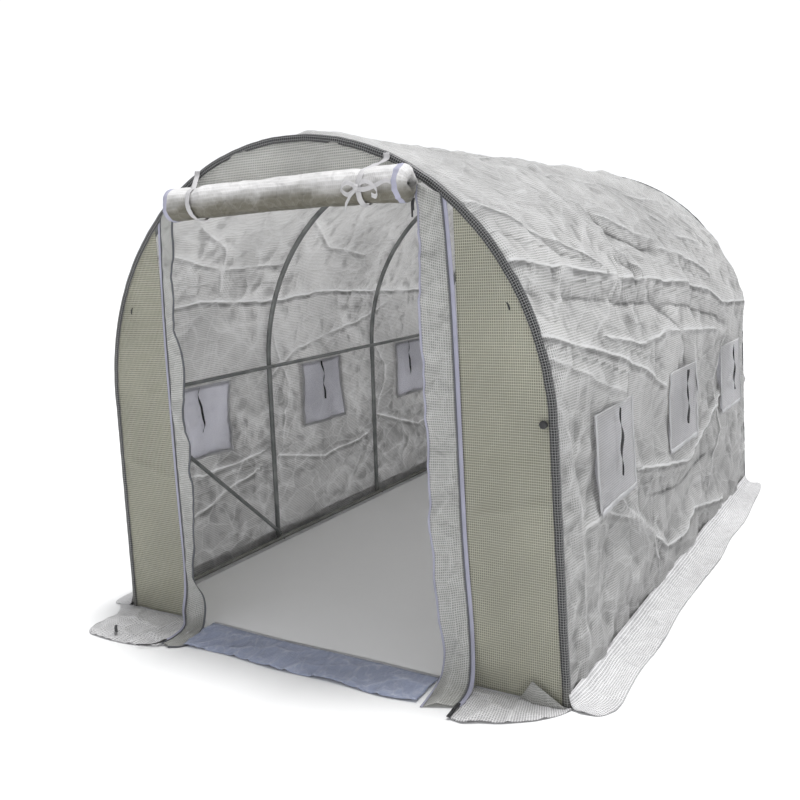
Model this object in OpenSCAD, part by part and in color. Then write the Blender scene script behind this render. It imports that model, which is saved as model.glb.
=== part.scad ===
// Walk-in polytunnel greenhouse.
// Steel hoops on splayed legs carry a woven film cover. The front has a rolled-up door.
// X runs across the tunnel, the doorway faces -Y, and Z is up. Units are millimetres.

/* [Tunnel] */
// Distance between two neighbouring hoops
bay_length = 1000; // [700:10:1500]
// Radius of the hoop's arc, to the middle of the tube
arc_radius = 1000; // [800:10:1400]
// Height of the straight legs below the arc
leg_height = 940; // [760:10:1200]
// How far each foot stands outside the top of its leg
foot_splay = 25; // [0:1:60]

/* [Tubes] */
// Diameter of the hoop tube
hoop_d = 25; // [19:0.5:38]
// Diameter of the purlins
purlin_d = 19; // [12:0.5:30]
// Diameter of the diagonal braces
brace_d = 19; // [12:0.5:26]
// Diameter of the ground tubes
ground_tube_d = 25; // [16:0.5:34]
// Angle of the side purlins above the foot of the arc, in degrees
purlin_angle = 1.4; // [1.2:0.1:20]
// Gap between tubes that are bolted side by side
tube_gap = 0.2; // [0.1:0.1:2]
// Diameter of the flattened eye at each brace end
brace_eye_d = 26; // [20:1:36]
// Thickness of the flattened eye
brace_eye_t = 3; // [2:0.5:6]
// Length of the plug on each purlin end
plug_length = 12; // [4:1:20]

/* [Cover] */
// Thickness of a cover sheet
sheet_t = 3; // [2:0.5:6]
// Gap between the cover and the hoops
cover_gap = 1; // [0.3:0.1:3]

/* [Doorway] */
// Width of a front side panel, from the middle of the foot to the middle of the zip
side_panel_width = 355; // [250:5:450]
// Width of a zip tape
zip_width = 20; // [12:1:40]
// Width of the strip between zip and doorway
strip_width = 115; // [60:5:200]
// Drop of the seam above the doorway, from the top of the arc's tube
door_seam_drop = 190; // [150:5:300]
// Radius of the bend where a strip turns onto the ground
strip_bend_r = 60; // [20:5:120]
// Length of the strip's tail on the ground, from the front panel
tail_length = 240; // [120:10:400]

/* [Rolled door] */
// Outer radius of the rolled-up door
roll_r = 67; // [40:1:90]
// Distance from each end of the roll to the edge of the arch
roll_inset = 40; // [10:5:120]
// Sideways place of the roll's middle
roll_x = -20; // [-60:5:60]
// Drop of the roll's axis below the seam
roll_drop = 5; // [0:1:40]
// Gap between the roll and the front panel
roll_gap = 3; // [2.6:0.1:8]
// Width of a tie ribbon
tie_width = 26; // [15:1:40]
// Thickness of a tie ribbon
tie_t = 2; // [1:0.1:2]
// Sideways distance from the roll's middle to each tie
tie_spread = 360; // [200:10:420]

/* [Windows] */
// Width of a window opening
window_w = 360; // [200:10:500]
// Height of a window opening
window_h = 325; // [200:5:420]
// Distance from the top of the wall down to the opening
window_drop = 25; // [15:5:60]
// How far the screen laps over the opening's edge
screen_lap = 18; // [8:1:20]
// Thickness of a screen
screen_t = 2; // [1:0.5:4]
// How far the flap laps over the sides of the opening
flap_lap_side = 42; // [15:1:80]
// How far the flap hangs below the opening
flap_lap_bottom = 38; // [10:1:80]
// Thickness of a flap
flap_t = 3; // [1.5:0.5:6]
// Gap between a flap or screen and the wall cover
window_gap = 0.5; // [0.3:0.1:3]

/* [Ground skirt] */
// Width of the side skirts
skirt_side = 150; // [80:5:300]
// Width of the back skirt
skirt_back_w = 230; // [80:5:300]
// Depth of the front skirt on the left
skirt_front_left_d = 300; // [120:5:380]
// Depth of the front skirt on the right
skirt_front_right_d = 240; // [120:5:380]
// Depth of the sill flap in front of the doorway
sill_depth = 215; // [100:5:380]
// Radius of the skirts' free corners
skirt_corner_r = 90; // [20:5:120]
// Radius of the front right skirt's outer corner
skirt_front_right_r = 190; // [20:5:230]
// Gap between two skirt pieces, and between a skirt and the cover
skirt_gap = 1; // [0.5:0.5:5]

/* [Hidden] */
$fn = 96;

bay_count = 3;
tunnel_length = bay_count * bay_length;
front_hoop_y = -tunnel_length / 2;
back_hoop_y = tunnel_length / 2;

foot_x = arc_radius + foot_splay;
splay_angle = atan(foot_splay / leg_height);
hoop_r = hoop_d / 2;
purlin_track_r = arc_radius - hoop_r - tube_gap - purlin_d / 2;
purlin_x = purlin_track_r * cos(purlin_angle);
purlin_z = leg_height + purlin_track_r * sin(purlin_angle);
ground_tube_z = ground_tube_d / 2;
ground_tube_x = leg_x(ground_tube_z) - hoop_r / cos(splay_angle) - tube_gap - ground_tube_d / 2;
brace_eye_gap = 5 * tube_gap;
brace_top = purlin_z - purlin_d / 2 - brace_eye_gap - brace_eye_d / 2;
brace_bottom = ground_tube_d + brace_eye_gap + brace_eye_d / 2;
brace_tab_w = 0.8 * brace_eye_d;

// Offsets of the cover's two faces from the middle of the hoop tube
cover_in = hoop_r + cover_gap;
cover_out = cover_in + sheet_t;
panel_in_y = hoop_r + cover_gap;
panel_out_y = panel_in_y + sheet_t;
front_face_y = front_hoop_y - panel_out_y;
back_face_y = back_hoop_y + panel_out_y;
cover_foot_x = foot_x + cover_out;

door_seam_z = leg_height + arc_radius - door_seam_drop;
zip_in_x = foot_x - side_panel_width - zip_width / 2;
zip_out_x = zip_in_x + zip_width;
strip_in_x = zip_in_x - strip_width;
roll_y = front_face_y - roll_gap - roll_r;
roll_z = door_seam_z - roll_drop;
roll_length = 2 * (arch_half_width(roll_z) - roll_inset);
tie_gap = (roll_gap - tie_t) / 2;

window_top = leg_height - window_drop;
window_bottom = window_top - window_h;
flap_top = leg_height - window_gap;

skirt_side_x = cover_foot_x + skirt_gap;
skirt_front_y = front_face_y - skirt_gap;
skirt_back_y = back_face_y + skirt_gap;

// Moves the whole tunnel so that its bounding box is centred on the origin
front_reach = -skirt_front_y + skirt_front_left_d;
back_reach = skirt_back_y + skirt_back_w;
centre_shift = (front_reach - back_reach) / 2;

slack = 50;
big = 2 * (arc_radius + leg_height);

steel = [0.33, 0.34, 0.35];
film_white = [0.86, 0.87, 0.88];
film_clear = [0.72, 0.75, 0.72];
tape_lavender = [0.68, 0.69, 0.82];

// Middle of a leg at height z
function leg_x(z) = foot_x - foot_splay * z / leg_height;

// Half the cover's outer width at height z, at or above the top of the legs
function arch_half_width(z) =
  sqrt(pow(arc_radius + cover_out, 2) - pow(z - leg_height, 2));

// Middle of a bay, counted from the front
function bay_y(bay) = front_hoop_y + (bay + 0.5) * bay_length;

// Draws in the tunnel's own frame, then shifts it onto the origin
module placed() {
  translate([0, centre_shift, 0]) children();
}

// Extrudes an X-Z outline from y0 to y1
module along_y(y0, y1) {
  translate([0, y1, 0]) rotate([90, 0, 0]) linear_extrude(y1 - y0) children();
}

// Extrudes a Y-Z outline from x0 to x1
module along_x(x0, x1) {
  translate([x0, 0, 0]) rotate([90, 0, 90]) linear_extrude(x1 - x0) children();
}

// Frame of one side wall: X points out of the tunnel, Z runs up the leg, origin at the foot
module on_wall(side, y) {
  translate([side * foot_x, y, 0])
    rotate([0, -side * splay_angle, 0])
      mirror([side < 0 ? 1 : 0, 0, 0])
        children();
}

// Cross-section of the tunnel, grown outwards from the middle of the hoop tube
module arch_outline(grow) {
  translate([0, leg_height]) intersection() {
    circle(r = arc_radius + grow, $fn = 180);
    translate([-big, 0]) square([2 * big, big]);
  }
  polygon([
    [-foot_x - grow, 0], [foot_x + grow, 0],
    [arc_radius + grow, leg_height], [-arc_radius - grow, leg_height]
  ]);
}

// Part of the cover's cross-section between two X values and two heights
module arch_part(x0, x1, z0, z1) {
  intersection() {
    arch_outline(cover_out);
    translate([x0, z0]) square([x1 - x0, z1 - z0]);
  }
}

// Flat sheet that runs from y = 0 to y = -depth, with its two free corners rounded
module free_sheet(width, depth, left_r, right_r) {
  linear_extrude(sheet_t) difference() {
    translate([0, -depth]) square([width, depth]);
    translate([0, -depth]) corner_waste(left_r);
    translate([width, -depth]) mirror([1, 0]) corner_waste(right_r);
  }
}

// What a rounded corner of radius r takes off a square corner at the origin
module corner_waste(r) {
  difference() {
    translate([-1, -1]) square([r + 1, r + 1]);
    translate([r, r]) circle(r = r);
  }
}

// ---- Frame ----

module hoop_arc(y) {
  color(steel) placed()
    translate([0, y, leg_height]) rotate([90, 0, 0])
      rotate_extrude(angle = 180, $fn = 180) translate([arc_radius, 0]) circle(d = hoop_d, $fn = 48);
}

module hoop_legs(y) {
  color(steel) placed() intersection() {
    for (side = [-1, 1])
      on_wall(side, y) translate([0, 0, -slack])
        cylinder(d = hoop_d, h = leg_height + 2 * slack, $fn = 48);
    translate([-big, y - big, 0]) cube([2 * big, 2 * big, leg_height]);
  }
}

module purlin(x, z) {
  plug_face = tunnel_length / 2 + hoop_r - plug_length;
  color(steel) placed()
    translate([x, -plug_face, z]) rotate([-90, 0, 0]) cylinder(d = purlin_d, h = 2 * plug_face, $fn = 48);
}

module purlin_plugs() {
  color("black") placed()
    for (x = [-purlin_x, purlin_x], end = [-1, 1])
      translate([x, end * (tunnel_length / 2 + hoop_r - plug_length / 2), purlin_z])
        rotate([90, 0, 0]) cylinder(d = purlin_d, h = plug_length, center = true, $fn = 48);
}

module ground_tube_side(side) {
  half = tunnel_length / 2 + hoop_r;
  color(steel) placed()
    translate([side * ground_tube_x, -half, ground_tube_z])
      rotate([-90, 0, 0]) cylinder(d = ground_tube_d, h = 2 * half, $fn = 48);
}

module ground_tube_back() {
  half = ground_tube_x - ground_tube_d / 2 - tube_gap;
  color(steel) placed()
    translate([-half, back_hoop_y, ground_tube_z])
      rotate([0, 90, 0]) cylinder(d = ground_tube_d, h = 2 * half, $fn = 48);
}

// Diagonal of the front bay, from the front hoop's eave to the second hoop's foot
module brace(side) {
  run = bay_length;
  rise = brace_top - brace_bottom;
  reach = sqrt(run * run + rise * rise);
  color(steel) placed() on_wall(side, front_hoop_y)
    translate([-hoop_r - tube_gap, 0, brace_top])
      rotate([-90 - atan2(rise, run), 0, 0])
        union() {
          translate([-brace_d / 2, 0, brace_eye_d])
            cylinder(d = brace_d, h = reach - 2 * brace_eye_d, $fn = 48);
          for (z = [0, reach])
            translate([-brace_eye_t, 0, z]) rotate([0, 90, 0])
              cylinder(d = brace_eye_d, h = brace_eye_t, $fn = 48);
          for (z = [0, reach - 1.5 * brace_eye_d])
            translate([-brace_eye_t, -brace_tab_w / 2, z])
              cube([brace_eye_t, brace_tab_w, 1.5 * brace_eye_d]);
        }
}

// ---- Cover ----

module roof_cover() {
  color(film_white) placed()
    along_y(front_hoop_y - panel_in_y, back_hoop_y + panel_in_y)
      difference() {
        translate([0, leg_height]) circle(r = arc_radius + cover_out, $fn = 180);
        translate([0, leg_height]) circle(r = arc_radius + cover_in, $fn = 180);
        translate([-big, leg_height - big]) square([2 * big, big]);
      }
}

module wall_cover(side) {
  color(film_white) placed() mirror([side < 0 ? 1 : 0, 0, 0]) difference() {
    along_y(front_hoop_y - panel_in_y, back_hoop_y + panel_in_y)
      polygon([
        [foot_x + cover_in, 0], [foot_x + cover_out, 0],
        [arc_radius + cover_out, leg_height], [arc_radius + cover_in, leg_height]
      ]);
    for (bay = [0 : bay_count - 1])
      translate([arc_radius - slack, bay_y(bay) - window_w / 2, window_bottom])
        cube([foot_splay + cover_out + 2 * slack, window_w, window_h]);
  }
}

module back_panel() {
  color(film_white) placed()
    along_y(back_hoop_y + panel_in_y, back_face_y) arch_outline(cover_out);
}

module front_panel_side(side) {
  color(film_clear) placed() mirror([side < 0 ? 1 : 0, 0, 0])
    along_y(front_face_y, front_hoop_y - panel_in_y) arch_part(zip_out_x, big, 0, door_seam_z);
}

module front_panel_top() {
  color(film_clear) placed()
    along_y(front_face_y, front_hoop_y - panel_in_y) arch_part(-big, big, door_seam_z, big);
}

// Band that hangs beside the doorway, bends at the ground and runs forward as a tail
module door_band(side, x0, x1) {
  back_y = front_hoop_y - panel_in_y;
  placed() mirror([side < 0 ? 1 : 0, 0, 0]) intersection() {
    along_x(x0, x1) {
      translate([back_y - sheet_t, strip_bend_r]) square([sheet_t, big]);
      intersection() {
        translate([back_y - strip_bend_r, strip_bend_r]) difference() {
          circle(r = strip_bend_r);
          circle(r = strip_bend_r - sheet_t);
        }
        translate([back_y - strip_bend_r, 0]) square(strip_bend_r);
      }
      translate([back_y - tail_length, 0]) square([tail_length - strip_bend_r, sheet_t]);
    }
    along_y(-big, big) arch_part(x0, x1, 0, door_seam_z);
  }
}

module door_strip(side) {
  color(film_white) door_band(side, strip_in_x, zip_in_x);
}

module zip_tape(side) {
  color(tape_lavender) door_band(side, zip_in_x, zip_out_x);
}

module door_roll() {
  color(film_white) placed()
    translate([roll_x, roll_y, roll_z]) rotate([0, 90, 0])
      cylinder(r = roll_r, h = roll_length, center = true);
}

// Ribbon that drops from the arch behind the roll and loops round it
module roll_tie(side) {
  x = roll_x + side * tie_spread;
  loop_r = roll_r + tie_gap;
  color("white") placed() {
    translate([x, roll_y, roll_z]) rotate([0, 90, 0]) difference() {
      cylinder(r = loop_r + tie_t, h = tie_width, center = true);
      cylinder(r = loop_r, h = tie_width + 2, center = true);
    }
    along_y(roll_y + loop_r, roll_y + loop_r + tie_t)
      arch_part(x - tie_width / 2, x + tie_width / 2, roll_z, big);
  }
}

// ---- Windows ----

module window_screens(side) {
  color([0.7, 0.7, 0.74]) placed()
    for (bay = [0 : bay_count - 1])
      on_wall(side, bay_y(bay))
        translate([
          cover_in - window_gap - screen_t,
          -window_w / 2 - screen_lap,
          window_bottom - screen_lap
        ])
          cube([screen_t, window_w + 2 * screen_lap, window_h + 2 * screen_lap]);
}

module window_flap(side, bay) {
  width = window_w + 2 * flap_lap_side;
  bottom = window_bottom - flap_lap_bottom;
  color([0.78, 0.77, 0.84]) placed()
    on_wall(side, bay_y(bay))
      translate([cover_out + window_gap, -width / 2, bottom]) cube([flap_t, width, flap_top - bottom]);
}

// ---- Ground skirt ----

module skirt_side_piece(side) {
  color(film_white) placed() mirror([side < 0 ? 1 : 0, 0, 0])
    translate([skirt_side_x, front_face_y, 0]) rotate([0, 0, 90])
      free_sheet(back_face_y - front_face_y, skirt_side, skirt_corner_r, skirt_corner_r);
}

module skirt_back() {
  color(film_white) placed()
    translate([cover_foot_x, skirt_back_y, 0]) rotate([0, 0, 180])
      free_sheet(2 * cover_foot_x, skirt_back_w, skirt_corner_r, skirt_corner_r);
}

module skirt_front(side, depth, corner_r) {
  inner_x = zip_out_x + skirt_gap;
  color(film_white) placed() mirror([side < 0 ? 1 : 0, 0, 0])
    translate([inner_x, skirt_front_y, 0])
      free_sheet(cover_foot_x - inner_x, depth, sheet_t, corner_r);
}

module sill_flap() {
  half = strip_in_x - skirt_gap;
  color([0.6, 0.62, 0.7]) placed()
    translate([-half, skirt_front_y, 0]) free_sheet(2 * half, sill_depth, sheet_t, sheet_t);
}

hoop_arc(front_hoop_y);  // hoop_front_arc
hoop_arc(front_hoop_y + bay_length);  // hoop_second_arc
hoop_arc(front_hoop_y + 2 * bay_length);  // hoop_third_arc
hoop_arc(back_hoop_y);  // hoop_back_arc
hoop_legs(front_hoop_y);  // hoop_front_legs
hoop_legs(front_hoop_y + bay_length);  // hoop_second_legs
hoop_legs(front_hoop_y + 2 * bay_length);  // hoop_third_legs
hoop_legs(back_hoop_y);  // hoop_back_legs
purlin(0, leg_height + purlin_track_r);  // ridge_purlin
purlin(-purlin_x, purlin_z);  // purlin_left
purlin(purlin_x, purlin_z);  // purlin_right
purlin_plugs();
ground_tube_side(-1);  // ground_tube_left
ground_tube_side(1);  // ground_tube_right
ground_tube_back();
brace(-1);  // brace_left
brace(1);  // brace_right
roof_cover();
wall_cover(-1);  // wall_cover_left
wall_cover(1);  // wall_cover_right
back_panel();
front_panel_side(-1);  // front_panel_left
front_panel_side(1);  // front_panel_right
front_panel_top();
door_strip(-1);  // door_strip_left
door_strip(1);  // door_strip_right
zip_tape(-1);  // zip_tape_left
zip_tape(1);  // zip_tape_right
door_roll();
roll_tie(-1);  // roll_tie_left
roll_tie(1);  // roll_tie_right
window_screens(-1);  // window_screens_left
window_screens(1);  // window_screens_right
window_flap(-1, 0);  // window_flap_left_front
window_flap(-1, 1);  // window_flap_left_middle
window_flap(-1, 2);  // window_flap_left_back
window_flap(1, 0);  // window_flap_right_front
window_flap(1, 1);  // window_flap_right_middle
window_flap(1, 2);  // window_flap_right_back
skirt_side_piece(-1);  // skirt_left
skirt_side_piece(1);  // skirt_right
skirt_back();
skirt_front(-1, skirt_front_left_d, skirt_corner_r);  // skirt_front_left
skirt_front(1, skirt_front_right_d, skirt_front_right_r);  // skirt_front_right
sill_flap();
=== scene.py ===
"""Looks of a walk-in polytunnel greenhouse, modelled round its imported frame.

Lengths are in metres. X runs across the tunnel, the doorway faces -Y and Z is up.
"""

import logging
import math
from dataclasses import dataclass
from enum import Enum
from typing import Iterable, Optional, Sequence

import bpy
import numpy as np
from mathutils import Matrix, Vector, noise
from numpy.typing import NDArray


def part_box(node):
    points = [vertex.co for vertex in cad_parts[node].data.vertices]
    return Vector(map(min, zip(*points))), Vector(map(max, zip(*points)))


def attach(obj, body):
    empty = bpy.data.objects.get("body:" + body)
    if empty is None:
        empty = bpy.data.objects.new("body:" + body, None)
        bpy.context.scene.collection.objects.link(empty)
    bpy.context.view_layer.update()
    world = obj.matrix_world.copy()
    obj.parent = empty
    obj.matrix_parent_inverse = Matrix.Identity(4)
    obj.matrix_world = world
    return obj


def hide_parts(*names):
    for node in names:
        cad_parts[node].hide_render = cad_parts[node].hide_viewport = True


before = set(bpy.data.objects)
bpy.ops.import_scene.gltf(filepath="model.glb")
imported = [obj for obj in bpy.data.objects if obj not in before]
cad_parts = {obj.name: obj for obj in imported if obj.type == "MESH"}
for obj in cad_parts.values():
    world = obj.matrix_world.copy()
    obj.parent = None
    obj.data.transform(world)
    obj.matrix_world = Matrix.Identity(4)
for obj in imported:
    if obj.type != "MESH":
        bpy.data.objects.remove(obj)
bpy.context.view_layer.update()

LOG = logging.getLogger("polytunnel")

Array = NDArray[np.float64]
Point = tuple[float, float, float]
Pair = tuple[float, float]
Colour = tuple[float, float, float]
Cells = NDArray[np.bool_]
Piece = bpy.types.Object
Material = bpy.types.Material
Node = bpy.types.Node
NodeTree = bpy.types.NodeTree
Socket = bpy.types.NodeSocket


class Side(Enum):
    """Left or right side of the tunnel, seen by someone who walks in."""

    LEFT = -1
    RIGHT = 1

    @property
    def word(self) -> str:
        """The side's name, as the nodes spell it."""
        return self.name.lower()


# ---- Mesh helpers ----

RELIEF_ROUNDS = 4
FULL_RELIEF = 0.005
BEVEL_SEGMENTS = 2
CURVE_STEPS = 12


def select_only(*pieces: Piece) -> None:
    """Selects these pieces alone and makes the first one active.

    Args:
        pieces: The pieces to select.
    """
    bpy.ops.object.select_all(action="DESELECT")
    for piece in pieces:
        piece.select_set(True)
    if pieces:
        bpy.context.view_layer.objects.active = pieces[0]


def apply_modifier(piece: Piece, modifier: bpy.types.Modifier) -> None:
    """Applies one modifier of a piece."""
    select_only(piece)
    bpy.ops.object.modifier_apply(modifier=modifier.name)


def grid_mesh(
    name: str, points: Array, flat: Array, keep: Optional[Cells] = None, flip: bool = False,
    marks: Optional[dict[str, Array]] = None
) -> Piece:
    """Makes a smooth sheet from a grid of points, with its cut size as its UV map.

    Args:
        name: The piece's name.
        points: The grid's places, as rows x columns x 3.
        flat: Each point's place on the flat cut, as rows x columns x 2, in metres.
        keep: Which of the grid's cells are cloth; all of them if it is left out.
        flip: Turns the faces to the other side.
        marks: Attributes for the materials, with one value for each point.

    Returns:
        The new piece.
    """
    rows, columns = points.shape[:2]
    index = np.arange(rows * columns).reshape(rows, columns)
    corners = [index[:-1, :-1], index[:-1, 1:], index[1:, 1:], index[1:, :-1]]
    if flip:
        corners.reverse()
    cells = np.stack(corners, -1).reshape(-1, 4)
    if keep is not None:
        cells = cells[keep.ravel()]
    used, cells = np.unique(cells, return_inverse=True)
    cells = cells.reshape(-1, 4)
    mesh = bpy.data.meshes.new(name)
    mesh.from_pydata(points.reshape(-1, 3)[used].tolist(), [], cells.tolist())
    layer = mesh.uv_layers.new(name="UVMap")
    layer.data.foreach_set("uv", flat.reshape(-1, 2)[used][cells.ravel()].astype(np.float32).ravel())
    values = {"relief": grid_relief(points) * (-1.0 if flip else 1.0), **(marks or {})}
    for label, value in values.items():
        attribute = mesh.attributes.new(label, "FLOAT", "POINT")
        attribute.data.foreach_set("value", value.ravel()[used].astype(np.float32))
    mesh.polygons.foreach_set("use_smooth", np.ones(len(mesh.polygons), bool))
    piece = bpy.data.objects.new(name, mesh)
    bpy.context.scene.collection.objects.link(piece)
    return piece


def film_mesh(
    name: str, points: Array, flat: Array, thickness: float, material: Material,
    keep: Optional[Cells] = None, flip: bool = False, marks: Optional[dict[str, Array]] = None
) -> Piece:
    """Makes a closed film from a grid of points, in its material.

    Args:
        name: The piece's name.
        points: The places of the film's middle, as rows x columns x 3.
        flat: Each point's place on the flat cut.
        thickness: The film's thickness.
        material: Its material.
        keep: Which of the grid's cells are film.
        flip: Turns the faces to the other side.
        marks: Attributes for the material.

    Returns:
        The new piece.
    """
    piece = grid_mesh(name, points, flat, keep, flip, marks)
    thicken(piece, thickness)
    piece.data.materials.append(material)
    return piece


def grid_relief(points: Array) -> Array:
    """How far each point of a grid stands over its surroundings.

    Args:
        points: The grid's places, as rows x columns x 3.

    Returns:
        One value for each point, from -1 in a hollow to 1 on a ridge.
    """
    even = points
    for _ in range(RELIEF_ROUNDS):
        padded = np.pad(even, ((1, 1), (1, 1), (0, 0)), mode="reflect", reflect_type="odd")
        even = (padded[:-2, 1:-1] + padded[2:, 1:-1] + padded[1:-1, :-2] + padded[1:-1, 2:]) / 4
    return np.clip(np.sum((points - even) * grid_normals(points), -1) / FULL_RELIEF, -1.0, 1.0)


def thicken(piece: Piece, thickness: float) -> None:
    """Gives a sheet its thickness, half of it to each side, with closed edges.

    Args:
        piece: The sheet.
        thickness: Its thickness.
    """
    solid = piece.modifiers.new("Thickness", "SOLIDIFY")
    solid.thickness = thickness
    solid.offset = 0.0
    apply_modifier(piece, solid)


def bevel(piece: Piece, width: float, sharper_than: float = 30.0) -> None:
    """Rounds a piece's edges.

    Args:
        piece: The piece.
        width: Width of the rounding.
        sharper_than: Smallest turn, in degrees, at which an edge is rounded.
    """
    edge = piece.modifiers.new("Edge", "BEVEL")
    edge.width = width
    edge.segments = BEVEL_SEGMENTS
    edge.angle_limit = math.radians(sharper_than)
    apply_modifier(piece, edge)


def vertex_places(piece: Piece) -> Array:
    """All vertex places of a mesh.

    Args:
        piece: The piece with the mesh.

    Returns:
        The places, as count x 3.
    """
    places = np.zeros(len(piece.data.vertices) * 3, np.float32)
    piece.data.vertices.foreach_get("co", places)
    return places.astype(np.float64).reshape(-1, 3)


def remove(piece: Piece) -> None:
    """Deletes a helper object and its mesh.

    Args:
        piece: The helper.
    """
    mesh = piece.data
    bpy.data.objects.remove(piece)
    bpy.data.meshes.remove(mesh)


def join(name: str, pieces: Sequence[Piece]) -> Piece:
    """Joins pieces into the first one and names the result.

    Args:
        name: The joined piece's name.
        pieces: The pieces to join; all but the first are used up.

    Returns:
        The joined piece.
    """
    select_only(*pieces)
    bpy.ops.object.join()
    pieces[0].name = name
    pieces[0].data.name = name
    return pieces[0]


def copies(name: str, model: Piece, places: Iterable[Matrix]) -> Piece:
    """Copies a small model to several places, joins the copies and removes the model.

    Args:
        name: The joined piece's name.
        model: The model, at the origin.
        places: Where each copy goes.

    Returns:
        The joined piece.
    """
    made = []
    for place in places:
        mesh = model.data.copy()
        mesh.transform(place)
        item = bpy.data.objects.new(name, mesh)
        bpy.context.scene.collection.objects.link(item)
        made.append(item)
    remove(model)
    return join(name, made)


def settle_transform(piece: Piece) -> None:
    """Writes a piece's place, turn and scale into its mesh."""
    select_only(piece)
    bpy.ops.object.transform_apply(location=True, rotation=True, scale=True)


def cylinder(vertices: int, radius: float, depth: float, z: float = 0.0) -> Piece:
    """A round or many-sided bar along Z.

    Args:
        vertices: How many sides it has.
        radius: Its radius.
        depth: Its length.
        z: Height of its middle.

    Returns:
        The bar.
    """
    bpy.ops.object.select_all(action="DESELECT")
    bpy.ops.mesh.primitive_cylinder_add(vertices=vertices, radius=radius, depth=depth, location=(0, 0, z))
    bar = bpy.context.active_object
    settle_transform(bar)
    return bar


def ball(segments: int, rings: int, radius: float, place: Point, scale: Point) -> Piece:
    """A ball, flattened or drawn out.

    Args:
        segments: How many vertices lie round it.
        rings: How many rings it has.
        radius: Its radius.
        place: Its middle.
        scale: Its size along each axis, as a share of the radius.

    Returns:
        The ball.
    """
    bpy.ops.object.select_all(action="DESELECT")
    bpy.ops.mesh.primitive_uv_sphere_add(segments=segments, ring_count=rings, radius=radius, location=place,
                                         scale=scale)
    made = bpy.context.active_object
    settle_transform(made)
    return made


def smooth_path(points: Sequence[Point], count: int) -> Array:
    """Evenly spaced points on a smooth curve through given ones.

    Args:
        points: The points that the curve passes through.
        count: How many points to return.

    Returns:
        The curve's points, as count x 3.
    """
    given = np.array(points, float)
    padded = np.vstack([2 * given[0] - given[1], given, 2 * given[-1] - given[-2]])
    steps = np.linspace(0.0, 1.0, CURVE_STEPS, endpoint=False)[:, None]
    runs = []
    for a, b, c, d in zip(padded, padded[1:], padded[2:], padded[3:]):
        runs.append(
            0.5 * (2 * b + (c - a) * steps + (2 * a - 5 * b + 4 * c - d) * steps**2
                   + (3 * b - a - 3 * c + d) * steps**3)
        )
    dense = np.vstack(runs + [given[-1:]])
    run = travelled(dense)
    wanted = np.linspace(0.0, run[-1], count)
    return np.stack([np.interp(wanted, run, dense[:, axis]) for axis in range(3)], -1)


def travelled(path: Array) -> Array:
    """Distance from the start of a line of points, at each of them."""
    return np.concatenate([[0.0], np.cumsum(np.linalg.norm(np.diff(path, axis=0), axis=1))])


def flat_grid(across: Array, along: Array) -> Array:
    """Flat sizes of a grid with these places in its columns and rows."""
    return np.stack(np.meshgrid(across, along), -1)


def unit(vectors: Array) -> Array:
    """Vectors scaled to length 1, along the last axis."""
    return vectors / np.maximum(np.linalg.norm(vectors, axis=-1, keepdims=True), 1e-9)


def grid_normals(points: Array) -> Array:
    """Normal of a point grid at each point, on the side where a plain grid mesh faces."""
    return unit(np.cross(np.gradient(points, axis=1), np.gradient(points, axis=0)))


def soft_noise(points: Array, size: float, seed: int, octaves: int = 3) -> Array:
    """Smooth hills and hollows, from about -1 to 1.

    Args:
        points: Places, with 3 numbers on the last axis.
        size: Size of the largest hills.
        seed: Picks one pattern.
        octaves: How many finer levels are added.

    Returns:
        One value for each place.
    """
    scaled = (points / size + np.array([13.1, 7.7, 3.3]) * seed).reshape(-1, 3)
    values = [noise.fractal(Vector(place), 1.0, 2.1, octaves) for place in scaled]
    return np.array(values).reshape(points.shape[:-1])


def facet_noise(points: Array, size: float, sharpness: float, seed: int) -> Array:
    """Narrow ridges along the borders of irregular facets, from 0 to 1, as in crumpled film.

    Args:
        points: Places, with 3 numbers on the last axis.
        size: Typical size of a facet.
        sharpness: Width of a ridge, as a share of a facet.
        seed: Picks one pattern.

    Returns:
        One value for each place.
    """
    scaled = (points / size + np.array([5.9, 11.3, 2.1]) * seed).reshape(-1, 3)
    nearest = np.array([noise.voronoi(Vector(place))[0][:2] for place in scaled])
    ridges = np.maximum(0.0, 1.0 - (nearest[:, 1] - nearest[:, 0]) / sharpness)
    return ridges.reshape(points.shape[:-1]) ** 1.5


# ---- Cloth ----


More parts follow.
